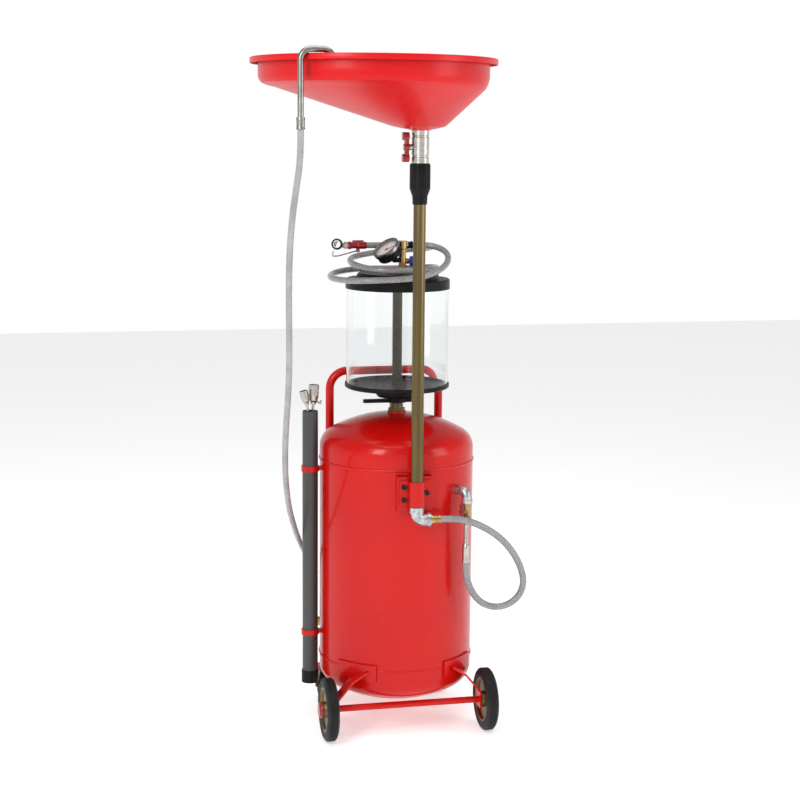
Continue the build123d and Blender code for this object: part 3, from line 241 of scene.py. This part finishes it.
def spangled():
    """Galvanised steel: zinc crystals of different tints."""
    made = Surface("galvanised", Metallic=1.0)
    cells = made.node("ShaderNodeTexVoronoi", {"Vector": made.place, "Scale": 160.0}).outputs["Color"]
    tint = made.node("ShaderNodeSeparateColor", {0: cells}).outputs[0]
    made.set("Base Color", made.blend(tint, (0.36, 0.37, 0.39), (0.58, 0.59, 0.6)))
    made.set("Roughness", made.between(tint, 0.3, 0.46))
    return made.bump(made.noise(350.0), 0.00005)


def zinc_yellow():
    """Yellow passivated zinc: olive and rose tints that run along the tube."""
    made = Surface("yellow_zinc", Metallic=1.0)
    streaks = made.noise(26.0, 4.0, (1, 1, 0.08))
    base = made.blend(streaks, (0.1, 0.072, 0.026), (0.21, 0.165, 0.075))
    rose = made.between(made.noise(9.0, 2.0, (1, 1, 0.3)), 0.0, 0.35, 0.5, 0.75)
    made.set("Base Color", made.mix(rose, base, (0.16, 0.09, 0.07, 1)))
    made.set("Roughness", made.between(made.noise(60.0, 3.0, (1, 1, 0.1)), 0.26, 0.42))
    return made.bump(made.noise(420.0, 2.0, (1, 1, 0.05)), 0.00003)


def braided_hose(name, shade, threads):
    """Clear PVC hose over a criss-cross braid; the tube's UV runs round it and along it."""
    made = Surface(name, Transmission_Weight=0.12, IOR=1.45, Coat_Weight=0.5, Coat_Roughness=0.12)
    uv = made.node("ShaderNodeUVMap", uv_map="along").outputs[0]
    parts = made.node("ShaderNodeSeparateXYZ", {0: uv}).outputs
    lines = []
    for lean in (-1.0, 1.0):
        around = made.math("MULTIPLY", parts[0], 6.0 * lean)
        slant = made.math("ADD", around, made.math("MULTIPLY", parts[1], 85.0))
        wave = made.math("SINE", made.math("MULTIPLY", slant, 2 * pi))
        lines.append(made.between(wave, 0.0, 1.0, 0.55, 0.95))
    braid = made.math("MAXIMUM", lines[0], lines[1])
    cloud = made.noise(30.0)
    dark = made.blend(cloud, [0.72 * c for c in shade], shade)
    made.set("Base Color", made.mix(made.math("MULTIPLY", braid, threads), dark, (0.8, 0.8, 0.78, 1)))
    made.set("Roughness", made.between(cloud, 0.2, 0.34))
    return made.bump(braid, 0.0002)


def clear(name, tint, rough):
    """Clear acrylic with the faintest wipe marks."""
    made = Surface(name, Transmission_Weight=1.0, IOR=1.42)
    marks = made.noise(7.0, 3.0, (1, 1, 0.4))
    made.set("Base Color", made.blend(marks, tint, [min(1.0, c * 1.01) for c in tint]))
    return made.set("Roughness", made.between(marks, *rough))


MATERIALS = {
    "red_paint": varied("red_enamel", (0.5, 0.003, 0.002), (0.57, 0.005, 0.003), (0.16, 0.34),
                        patch=5.0, grain=220.0, depth=0.00006, Specular_IOR_Level=0.2, Coat_Weight=0.2,
                        Coat_Roughness=0.06),
    "pan_red": varied("pan_red", (0.54, 0.003, 0.005), (0.62, 0.006, 0.008), (0.3, 0.42), patch=6.0,
                      grain=260.0, depth=0.00008, Specular_IOR_Level=0.2, Coat_Weight=0.1,
                      Coat_Roughness=0.2),
    "clear_acrylic": clear("clear_acrylic", (0.97, 0.985, 0.985), (0.01, 0.03)),
    "black_plastic": varied("black_plastic", (0.004, 0.004, 0.004), (0.012, 0.012, 0.013), (0.3, 0.48),
                            patch=20.0, grain=600.0, Specular_IOR_Level=0.12),
    "yellow_zinc": zinc_yellow(),
    "galvanised": spangled(),
    "brass": varied("brass", (0.36, 0.24, 0.09), (0.52, 0.37, 0.16), (0.22, 0.4), patch=60.0,
                    grain=500.0, Metallic=1.0),
    "nickel": varied("nickel", (0.38, 0.36, 0.33), (0.56, 0.54, 0.5), (0.2, 0.38), patch=60.0,
                     grain=600.0, Metallic=1.0),
    "steel": varied("steel", (0.38, 0.38, 0.38), (0.55, 0.55, 0.54), (0.25, 0.4), patch=40.0,
                    grain=500.0, depth=0.00003, stretch=(1, 1, 0.1), Metallic=1.0),
    "black_steel": varied("black_steel", (0.01, 0.01, 0.011), (0.03, 0.028, 0.027), (0.3, 0.5),
                          patch=90.0, Metallic=0.6),
    "black_rubber": varied("black_rubber", (0.006, 0.006, 0.006), (0.018, 0.018, 0.018), (0.5, 0.7),
                           patch=30.0, grain=500.0, Specular_IOR_Level=0.3),
    "tyre_rubber": varied("tyre_rubber", (0.008, 0.008, 0.009), (0.02, 0.02, 0.021), (0.5, 0.7),
                          patch=30.0, grain=700.0, depth=0.0001, Specular_IOR_Level=0.3),
    "grey_pvc": varied("grey_pvc", (0.035, 0.037, 0.039), (0.06, 0.06, 0.062), (0.32, 0.46), patch=24.0,
                       grain=300.0, depth=0.00005, stretch=(1, 1, 0.06)),
    "clear_hose": braided_hose("clear_hose", (0.25, 0.26, 0.27), 0.2),
    "milky_hose": braided_hose("milky_hose", (0.4, 0.4, 0.41), 0.07),
    "olive_zinc": varied("olive_zinc", (0.018, 0.015, 0.007), (0.042, 0.038, 0.018), (0.3, 0.42),
                         patch=20.0, grain=400.0, depth=0.00003, stretch=(1, 1, 0.08), Metallic=1.0),
    "lens": varied("lens", (0.9, 0.9, 0.9), (0.95, 0.95, 0.95), (0.02, 0.06), patch=40.0, Alpha=0.12),
    "grey_steel": varied("grey_steel", (0.2, 0.19, 0.18), (0.34, 0.33, 0.31), (0.25, 0.38), patch=30.0,
                         Metallic=1.0),
    "gauge_face": varied("gauge_face", (0.74, 0.73, 0.7), (0.82, 0.81, 0.78), (0.4, 0.5), patch=60.0),
    "gauge_ink": varied("gauge_ink", (0.02, 0.02, 0.02), (0.04, 0.04, 0.04), (0.4, 0.5), patch=90.0),
    "bezel": varied("bezel", (0.16, 0.16, 0.17), (0.3, 0.3, 0.31), (0.2, 0.35), patch=70.0, Metallic=1.0),
    "blue_plastic": varied("blue_plastic", (0.012, 0.05, 0.26), (0.02, 0.09, 0.4), (0.22, 0.35),
                           patch=60.0, Coat_Weight=0.3),
    "red_plastic": varied("red_plastic", (0.2, 0.003, 0.006), (0.32, 0.006, 0.01), (0.22, 0.36),
                          patch=50.0, Coat_Weight=0.4),
}


# ---- mesh helpers -------------------------------------------------------------------------
def new_piece(name, verts, faces, material, body, sharp=32.0):
    """Mesh piece with smooth shading and sharp edges above an angle, riding on a body."""
    mesh = bpy.data.meshes.new(name)
    mesh.from_pydata([tuple(v) for v in verts], [], faces)
    mesh.polygons.foreach_set("use_smooth", [True] * len(mesh.polygons))
    mesh.set_sharp_from_angle(angle=radians(sharp))
    mesh.materials.append(MATERIALS[material].material)
    piece = bpy.data.objects.new(name, mesh)
    bpy.context.collection.objects.link(piece)
    if body:
        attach(piece, body)
    return piece


def frame_of(aim):
    """Two unit vectors across aim."""
    aim = Vector(aim).normalized()
    side = aim.orthogonal().normalized() if abs(aim.z) < 0.999 else Vector((1, 0, 0))
    return side, aim.cross(side)


def bridge(rings, size, closed_loop):
    """Faces between rings of size vertices each."""
    faces = []
    last = rings if closed_loop else rings - 1
    for ring in range(last):
        here, there = ring * size, (ring + 1) % rings * size
        for index in range(size):
            after = (index + 1) % size
            faces.append((here + index, here + after, there + after, there + index))
    return faces


def lathe(name, outline, origin, aim, material, body, steps=64, wobble=None):
    """Closed outline of (radius, distance along aim), turned about the line through origin."""
    side, other = frame_of(aim)
    aim = Vector(aim).normalized()
    verts = []
    for radius, along in outline:
        for step in range(steps):
            turn = 2 * pi * step / steps
            extra = wobble(turn, radius, along) if wobble else 0.0
            out = side * cos(turn) + other * sin(turn)
            verts.append(Vector(origin) + aim * along + out * (radius + extra))
    return new_piece(name, verts, bridge(len(outline), steps, True), material, body)


def smooth_route(points):
    """Points along the NURBS line whose control points are the route's."""
    curve = bpy.data.curves.new("route", "CURVE")
    curve.dimensions = "3D"
    curve.resolution_u = 10
    spline = curve.splines.new("NURBS")
    spline.points.add(len(points) - 1)
    for point, spot in zip(spline.points, points):
        point.co = (*at(*spot), 1.0)
    spline.order_u = 3
    spline.use_endpoint_u = True
    holder = bpy.data.objects.new("route", curve)
    mesh = bpy.data.meshes.new_from_object(holder)
    line = [vertex.co.copy() for vertex in mesh.vertices]
    bpy.data.objects.remove(holder)
    bpy.data.meshes.remove(mesh)
    return line


def tube(name, line, radius, material, body, first=0, last=None, sides=18):
    """Round tube along part of a line, with a UV map that runs round and along it."""
    last = len(line) - 1 if last is None else last
    across = (line[1] - line[0]).orthogonal().normalized()
    verts, run, travelled = [], [], 0.0
    for index, spot in enumerate(line):
        before, after = line[max(index - 1, 0)], line[min(index + 1, len(line) - 1)]
        aim = (after - before).normalized()
        across = (across - aim * across.dot(aim)).normalized()
        if index:
            travelled += (spot - line[index - 1]).length
        if not first <= index <= last:
            continue
        other = aim.cross(across)
        run.append(travelled)
        for step in range(sides):
            turn = 2 * pi * step / sides
            verts.append(spot + (across * cos(turn) + other * sin(turn)) * radius)
    rings = len(run)
    faces = bridge(rings, sides, False)
    faces += [tuple(reversed(range(sides))), tuple(range((rings - 1) * sides, rings * sides))]
    piece = new_piece(name, verts, faces, material, body, 60.0)
    layer = piece.data.uv_layers.new(name="along")
    for polygon in piece.data.polygons:
        for corner in polygon.loop_indices:
            ring, step = divmod(piece.data.loops[corner].vertex_index, sides)
            seam = step == 0 and sides - 1 in [v % sides for v in polygon.vertices]
            around = 1.0 if seam else step / sides
            layer.data[corner].uv = (around, run[ring])
    return piece


def prism(name, outline, origin, across, aim, depth, material, body, bevel=0.0):
    """Outline in a plane, given as (across, up) points, pushed out along aim."""
    aim, across = Vector(aim).normalized(), Vector(across).normalized()
    upward = aim.cross(across)
    flat = [Vector(origin) + across * u + upward * v for u, v in outline]
    count = len(flat)
    verts = flat + [spot + aim * depth for spot in flat]
    faces = [tuple(reversed(range(count))), tuple(range(count, 2 * count))]
    faces += [(i, (i + 1) % count, (i + 1) % count + count, i + count) for i in range(count)]
    piece = new_piece(name, verts, faces, material, body)
    if bevel:
        rounding = piece.modifiers.new("edges", "BEVEL")
        rounding.width, rounding.segments = bevel, 3
        rounding.limit_method = "ANGLE"
    return piece


def circle(radius, steps=24, flutes=0, depth=0.0):
    """Closed round outline, with an optional number of flutes."""
    points = []
    for step in range(steps):
        turn = 2 * pi * step / steps
        r = radius - depth * (0.5 + 0.5 * cos(turn * flutes)) if flutes else radius
        points.append((r * cos(turn), r * sin(turn)))
    return points


# ---- hoses --------------------------------------------------------------------------------
# The routes are the CAD routes, in metres from the tank's axis on the ground.
RETURN_ROUTE = [
    (0.060, -0.230, 0.577), (0.090, -0.230, 0.577), (0.120, -0.2295, 0.5725), (0.149, -0.228, 0.563),
    (0.176, -0.226, 0.5495), (0.202, -0.224, 0.533), (0.227, -0.2215, 0.512), (0.249, -0.2185, 0.487),
    (0.267, -0.215, 0.459), (0.280, -0.2115, 0.430), (0.287, -0.208, 0.400), (0.2815, -0.2045, 0.3715),
    (0.264, -0.2015, 0.3485), (0.238, -0.1985, 0.3355), (0.2095, -0.1955, 0.334), (0.183, -0.193, 0.3445),
    (0.1625, -0.191, 0.364), (0.1485, -0.1892, 0.391), (0.13919, -0.1881, 0.424), (0.13919, -0.1881, 0.453),
]
SUCTION_ROUTE = [
    (0.037, 0.003, 1.240), (0.060, 0.003, 1.240), (0.084, -0.003, 1.2385), (0.103, -0.018, 1.234),
    (0.114, -0.040, 1.226), (0.116, -0.065, 1.215), (0.107, -0.092, 1.202), (0.088, -0.115, 1.189),
    (0.058, -0.133, 1.177), (0.020, -0.145, 1.169), (-0.022, -0.151, 1.1655), (-0.066, -0.150, 1.164),
    (-0.112, -0.136, 1.162), (-0.151, -0.105, 1.160), (-0.173, -0.058, 1.160), (-0.177, -0.005, 1.161),
    (-0.164, 0.046, 1.164), (-0.134, 0.087, 1.168), (-0.092, 0.114, 1.171), (-0.042, 0.127, 1.171),
    (0.010, 0.128, 1.171), (0.058, 0.113, 1.173), (0.093, 0.079, 1.177), (0.105, 0.034, 1.181),
    (0.101, -0.013, 1.1825), (0.080, -0.055, 1.182), (0.043, -0.086, 1.182), (-0.003, -0.099, 1.182),
    (-0.051, -0.095, 1.183), (-0.091, -0.069, 1.186), (-0.116, -0.027, 1.192), (-0.121, 0.022, 1.198),
    (-0.108, 0.070, 1.203), (-0.078, 0.112, 1.207), (-0.035, 0.141, 1.211), (0.010, 0.152, 1.214),
    (0.050, 0.150, 1.217), (0.080, 0.139, 1.220), (0.0995, 0.1185, 1.223), (0.1065, 0.092, 1.226),
    (0.102, 0.0665, 1.229), (0.087, 0.046, 1.232), (0.063, 0.0335, 1.235), (0.033, 0.0306, 1.2373),
    (-0.004, 0.0302, 1.2382), (-0.042, 0.030, 1.238), (-0.076, 0.030, 1.238),
]
DRAIN_ROUTE = [
    (-0.326, -0.450, 1.526), (-0.326, -0.450, 1.462), (-0.334, -0.441, 1.400), (-0.341, -0.428, 1.336),
    (-0.344, -0.411, 1.270), (-0.343, -0.389, 1.200), (-0.339, -0.364, 1.128), (-0.334, -0.336, 1.054),
    (-0.329, -0.305, 0.979), (-0.326, -0.271, 0.905), (-0.325, -0.234, 0.833), (-0.322, -0.195, 0.763),
    (-0.315, -0.152, 0.696), (-0.304, -0.107, 0.634), (-0.290, -0.062, 0.578), (-0.273, -0.020, 0.530),
    (-0.257, 0.020, 0.491), (-0.242, 0.055, 0.460), (-0.227, 0.084, 0.433), (-0.2145, 0.103, 0.409),
    (-0.206, 0.1145, 0.3885), (-0.2008, 0.121, 0.3685), (-0.198443, 0.124001, 0.349),
    (-0.198443, 0.124001, 0.330),
]
RETURN_HOSE_R, SUCTION_HOSE_R, DRAIN_HOSE_R = 0.0085, 0.00775, 0.0075
SPLIT_Z = 1.14            # height where the discharge hose passes from the pan to the tank


def make_hoses(ring):
    """The three hoses; ring, the piece round the hand valve's socket, is not used."""
    line = smooth_route(RETURN_ROUTE)
    hose = tube("return_hose_tube", line, RETURN_HOSE_R, "clear_hose", "machine")
    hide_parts("return_hose")

    line = smooth_route(SUCTION_ROUTE)
    hose = tube("suction_hose_tube", line, SUCTION_HOSE_R, "clear_hose", "machine")
    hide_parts("suction_hose")

    line = smooth_route(DRAIN_ROUTE)
    split = next(index for index, spot in enumerate(line) if spot.z < SPLIT_Z)
    upper = tube("discharge_hose_upper", line, DRAIN_HOSE_R, "milky_hose", None, 0, split)
    lower = tube("discharge_hose_lower", line, DRAIN_HOSE_R, "milky_hose", None, split)
    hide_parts("discharge_hose")
    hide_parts("discharge_hose")
    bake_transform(upper)
    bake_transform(lower)


# ---- drain pan ----------------------------------------------------------------------------
PAN_SIDES = 128


def make_pan():
    """Pressed pan: rings from the outlet up the outside, over the lip and down the inside."""
    rim, lip = PAN_HIGH[2], PAN_LIP_R
    wall, sheet = lip - 0.019, 0.0025
    outlet = MAST.x - PAN.x
    floor_x, floor_r, floor_z = outlet - 0.0045, 0.0645, -0.156
    top_x, top_r, top_z = 0.0175, 0.2475, -0.069

    def on_slope(share):
        return (floor_x + share * (top_x - floor_x), floor_r + share * (top_r - floor_r),
                floor_z + share * (top_z - floor_z))

    slope = [(outlet, 0.0215, -0.166), (outlet, 0.0222, -0.1655), (outlet - 0.001, 0.03, -0.1635),
             (outlet - 0.0035, 0.06, -0.1575), on_slope(0.012), on_slope(0.04), on_slope(0.5), on_slope(0.96),
             (0.0155, 0.2495, -0.0675), (0.0075, 0.2595, -0.0635), (0.0022, 0.267, -0.0585),
             (0.0005, 0.2705, -0.052), (0.0, wall, -0.044)]
    side = [(0.0, wall, -0.03), (0.0, wall, -0.018), (0.0, wall, -0.0045)]
    over = [(0.0, wall + 0.0012, -0.0032), (0.0, lip - 0.0035, -0.0032), (0.0, lip - 0.0032, -0.004),
            (0.0, lip - 0.003, -0.0135), (0.0, lip - 0.0022, -0.014), (0.0, lip - 0.0004, -0.0138),
            (0.0, lip, -0.0125), (0.0, lip, -0.003), (0.0, lip - 0.0008, -0.0008), (0.0, lip - 0.0028, 0.0),
            (0.0, wall + 0.001, 0.0), (0.0, wall - 0.0012, -0.0006), (0.0, wall - sheet, -0.003)]
    inner = [(x, r - sheet, z + sheet * 0.9) for x, r, z in reversed(slope + side)]
    inner = [ring for ring in inner if ring[1] > 0.021]
    inner.append((outlet, 0.0125, -0.1575))
    inner.append((outlet, 0.0115, -0.166))
    rings = slope + side + over + inner
    steps = PAN_SIDES
    verts = []
    for x, radius, height in rings:
        for step in range(steps):
            turn = 2 * pi * step / steps
            verts.append((PAN.x + x + radius * cos(turn), PAN.y + radius * sin(turn), rim + height))
    pan = new_piece("drain_pan", verts, bridge(len(rings), steps, True), "pan_red", "pan", 24.0)
    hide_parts("pan_shell")


make_pan()


# ---- wheels -------------------------------------------------------------------------------
def make_wheels():
    """Ribbed tyres and red hub caps."""
    for name, side in (("left", -1), ("right", 1)):
        low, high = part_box(f"tyre_{name}")
        centre, half, radius = middle(f"tyre_{name}"), (high[0] - low[0]) / 2, (high[2] - low[2]) / 2
        wall = [(radius - 0.024, half - 0.002), (radius - 0.019, half), (radius - 0.0165, half),
                (radius - 0.016, half - 0.0012), (radius - 0.0145, half - 0.0012), (radius - 0.014, half),
                (radius - 0.008, half), (radius - 0.004, half - 0.002), (radius - 0.0012, half - 0.0052)]
        tread = []
        for groove in range(5):
            spot = -0.0076 + 0.0038 * groove
            tread += [(radius, spot - 0.0013), (radius - 0.0013, spot - 0.0007),
                      (radius - 0.0013, spot + 0.0007), (radius, spot + 0.0013)]
        outline = [(r, -x) for r, x in wall] + tread + [(r, x) for r, x in reversed(wall)]
        tyre = lathe(f"ribbed_tyre_{name}", outline, centre, (1, 0, 0), "tyre_rubber", f"wheel_{name}", 160,
                     wobble=lambda turn, r, x: -0.0003 * (sin(turn * 64) > 0) * (r > radius - 0.0045))
        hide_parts(f"tyre_{name}")
        cap = [(0.0125, half - 0.0005), (0.0205, half - 0.0005), (0.0208, half + 0.0045),
               (0.0192, half + 0.0082), (0.0166, half + 0.0112), (0.012, half + 0.0108),
               (0.006, half + 0.0122), (0.0002, half + 0.0125), (0.0002, half + 0.0118),
               (0.0125, half + 0.0102)]
        lathe(f"hub_cap_{name}", cap, centre, (side, 0, 0), "red_plastic", f"wheel_{name}", 48)


# ---- weld seams ---------------------------------------------------------------------------
def make_welds():
    """Rippled beads over the tank's two circular seams."""
    for name, z in (("low", BARREL_LOW[2]), ("high", BARREL_HIGH[2])):
        outline = [(TANK_R - 0.0005, -0.0036), (TANK_R + 0.0014, -0.0024), (TANK_R + 0.0022, -0.0006),
                   (TANK_R + 0.0022, 0.0006), (TANK_R + 0.0014, 0.0024), (TANK_R - 0.0005, 0.0036)]
        lathe(f"weld_{name}", outline, at(0, 0, z), UP, "red_paint", "machine", 720,
              wobble=lambda turn, r, x: 0.00035 * sin(turn * 180 + 300 * x) * (r > TANK_R))


# ---- fittings -----------------------------------------------------------------------------
def make_return_ends():
    """Crimped brass ferrule at the mast's foot, and the plated tail pipe under the tank's valve."""
    crimps = []
    for groove in range(3):
        spot = -0.0145 + 0.0045 * groove
        crimps += [(0.0108, spot - 0.0014), (0.0099, spot - 0.0008), (0.0099, spot + 0.0008),
                   (0.0108, spot + 0.0014)]
    outline = [(0.0055, -0.031), (0.0109, -0.031), (0.0109, -0.0252), (0.0118, -0.0248), (0.0118, -0.0195),
               (0.0108, -0.0185), *crimps, (0.0108, -0.0005), (0.0103, 0.0), (0.0055, 0.0)]
    ferrule = lathe("return_ferrule", outline, at(*RETURN_ROUTE[0]), (1, 0, 0), "brass", "machine")
    outline = [(0.0035, 0.0), (0.0092, 0.0), (0.0095, 0.002), (0.0095, 0.005), (0.0089, 0.007),
               (0.0089, 0.034), (0.0095, 0.036), (0.0095, 0.041), (0.0076, 0.045), (0.006, 0.048),
               (0.006, 0.098), (0.0079, 0.1), (0.0079, 0.111), (0.0035, 0.111)]
    tail = lathe("return_tail_pipe", outline, at(*RETURN_ROUTE[-1]), UP, "nickel", "machine")
    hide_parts("return_hose_ends")
    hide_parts("return_hose_ends")


def make_pan_valve_handle():
    """Butterfly handle of the pan's valve: fluted wings on a waisted bar, held by a nut."""
    low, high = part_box("pan_valve_handle")
    centre = middle("pan_valve_handle")
    face, reach = Vector((high[0], centre.y, centre.z)), (high[2] - low[2]) / 2
    out = (-1, 0, 0)
    bar = [(-0.029, -0.0045), (-0.012, -0.0062), (0.012, -0.0062), (0.029, -0.0045), (0.029, 0.0045),
           (0.012, 0.0062), (-0.012, 0.0062), (-0.029, 0.0045)]
    handle = prism("butterfly_bar", bar, face + Vector((-0.0008, 0, 0)), UP, out, 0.0105, "red_plastic",
                   "pan_valve", bevel=0.0014)
    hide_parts("pan_valve_handle")
    for name, side in (("top", 1), ("low", -1)):
        spot = face + Vector((0, 0, side * (reach - 0.0098)))
        prism(f"butterfly_wing_{name}", circle(0.0098, 72, 9, 0.0013), spot, UP, out, 0.0168, "red_plastic",
              "pan_valve", bevel=0.0012)
    hub = [(0.004, 0.0), (0.0092, 0.0), (0.0092, 0.0105), (0.0078, 0.0122), (0.004, 0.0125)]
    lathe("butterfly_hub", hub, face, out, "red_plastic", "pan_valve", 40)
    prism("butterfly_nut", circle(0.0064, 6), face + Vector((-0.0122, 0, 0)), UP, out, 0.0024, "nickel",
          "pan_valve", bevel=0.0005)


def make_gauge():
    """Bezel, ticks and plain numbers of the vacuum gauge."""
    joint = next(entry for entry in frame["joints"] if entry["child"] == "gauge_pointer")
    face, aim = Vector(joint["pos_m"]), -Vector(joint["axis"]).normalized()
    bezel = [(0.033, -0.0102), (0.0362, -0.0102), (0.0363, -0.0015), (0.0356, 0.0), (0.0345, 0.0005),
             (0.0322, -0.0004), (0.0308, -0.0012), (0.0308, -0.003), (0.033, -0.005)]
    lathe("gauge_bezel", bezel, face, aim, "bezel", "machine", 72)
    right = aim.cross(UP).normalized() * -1
    above = aim.cross(right)
    plane = Matrix((right, above, aim)).transposed().to_4x4()
    sheet = face - aim * 0.0088
    for tick in range(31):
        turn = radians(225 - 9 * tick)
        out = right * cos(turn) + above * sin(turn)
        long = tick % 5 == 0
        inner, width = (0.0235, 0.0005) if long else (0.0262, 0.00028)
        bar = [(inner, -width), (0.0288, -width), (0.0288, width), (inner, width)]
        prism(f"gauge_tick_{tick:02d}", bar, sheet, out, aim, 0.0003, "gauge_ink", "machine")
        if long:
            text = bpy.data.curves.new(f"gauge_number_{tick:02d}", "FONT")
            text.body = str(tick // 5 * 2)
            text.size, text.extrude = 0.0068, 0.0001
            text.align_x, text.align_y = "CENTER", "CENTER"
            text.materials.append(MATERIALS["gauge_ink"].material)
            number = bpy.data.objects.new(text.name, text)
            bpy.context.collection.objects.link(number)
            number.matrix_world = Matrix.Translation(sheet + out * 0.0185 + aim * 0.0002) @ plane
            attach(number, "machine")


def make_socket_ring():
    """Rubber ring round the mouth of the hand valve's socket."""
    mount = next(entry for entry in frame["record"]["mounts"] if entry["name"] == "probe_socket")
    outline = [(0.0113, -0.0016), (0.0136, -0.0012), (0.0142, 0.0004), (0.0142, 0.0058), (0.0136, 0.0078),
               (0.0124, 0.0088), (0.0094, 0.0088), (0.0092, 0.0078), (0.0113, 0.0074)]
    return lathe("socket_ring", outline, mount["pos_m"], mount["axis"], "black_rubber", "machine", 48)


make_hoses(make_socket_ring())
make_wheels()
make_welds()
make_return_ends()
make_pan_valve_handle()
make_gauge()


# ---- carried-over CAD nodes ---------------------------------------------------------------
# finishes that differ from those of the node's slot
CAD_FINISH = {"gauge_lens": "lens", "discharge_hook": "grey_steel", "chamber_centre_tube": "olive_zinc"}


def paint_cad():
    """Every CAD node that still shows gets the finish of its record slot."""
    for entry in frame["record"]["subparts"]:
        node = NODES[entry["node"]]
        slots = node.data.materials
        finish = MATERIALS[CAD_FINISH.get(entry["node"], entry["material_slot"])].material
        for index in range(len(slots)):
            slots[index] = finish
        if not slots:
            slots.append(finish)


paint_cad()
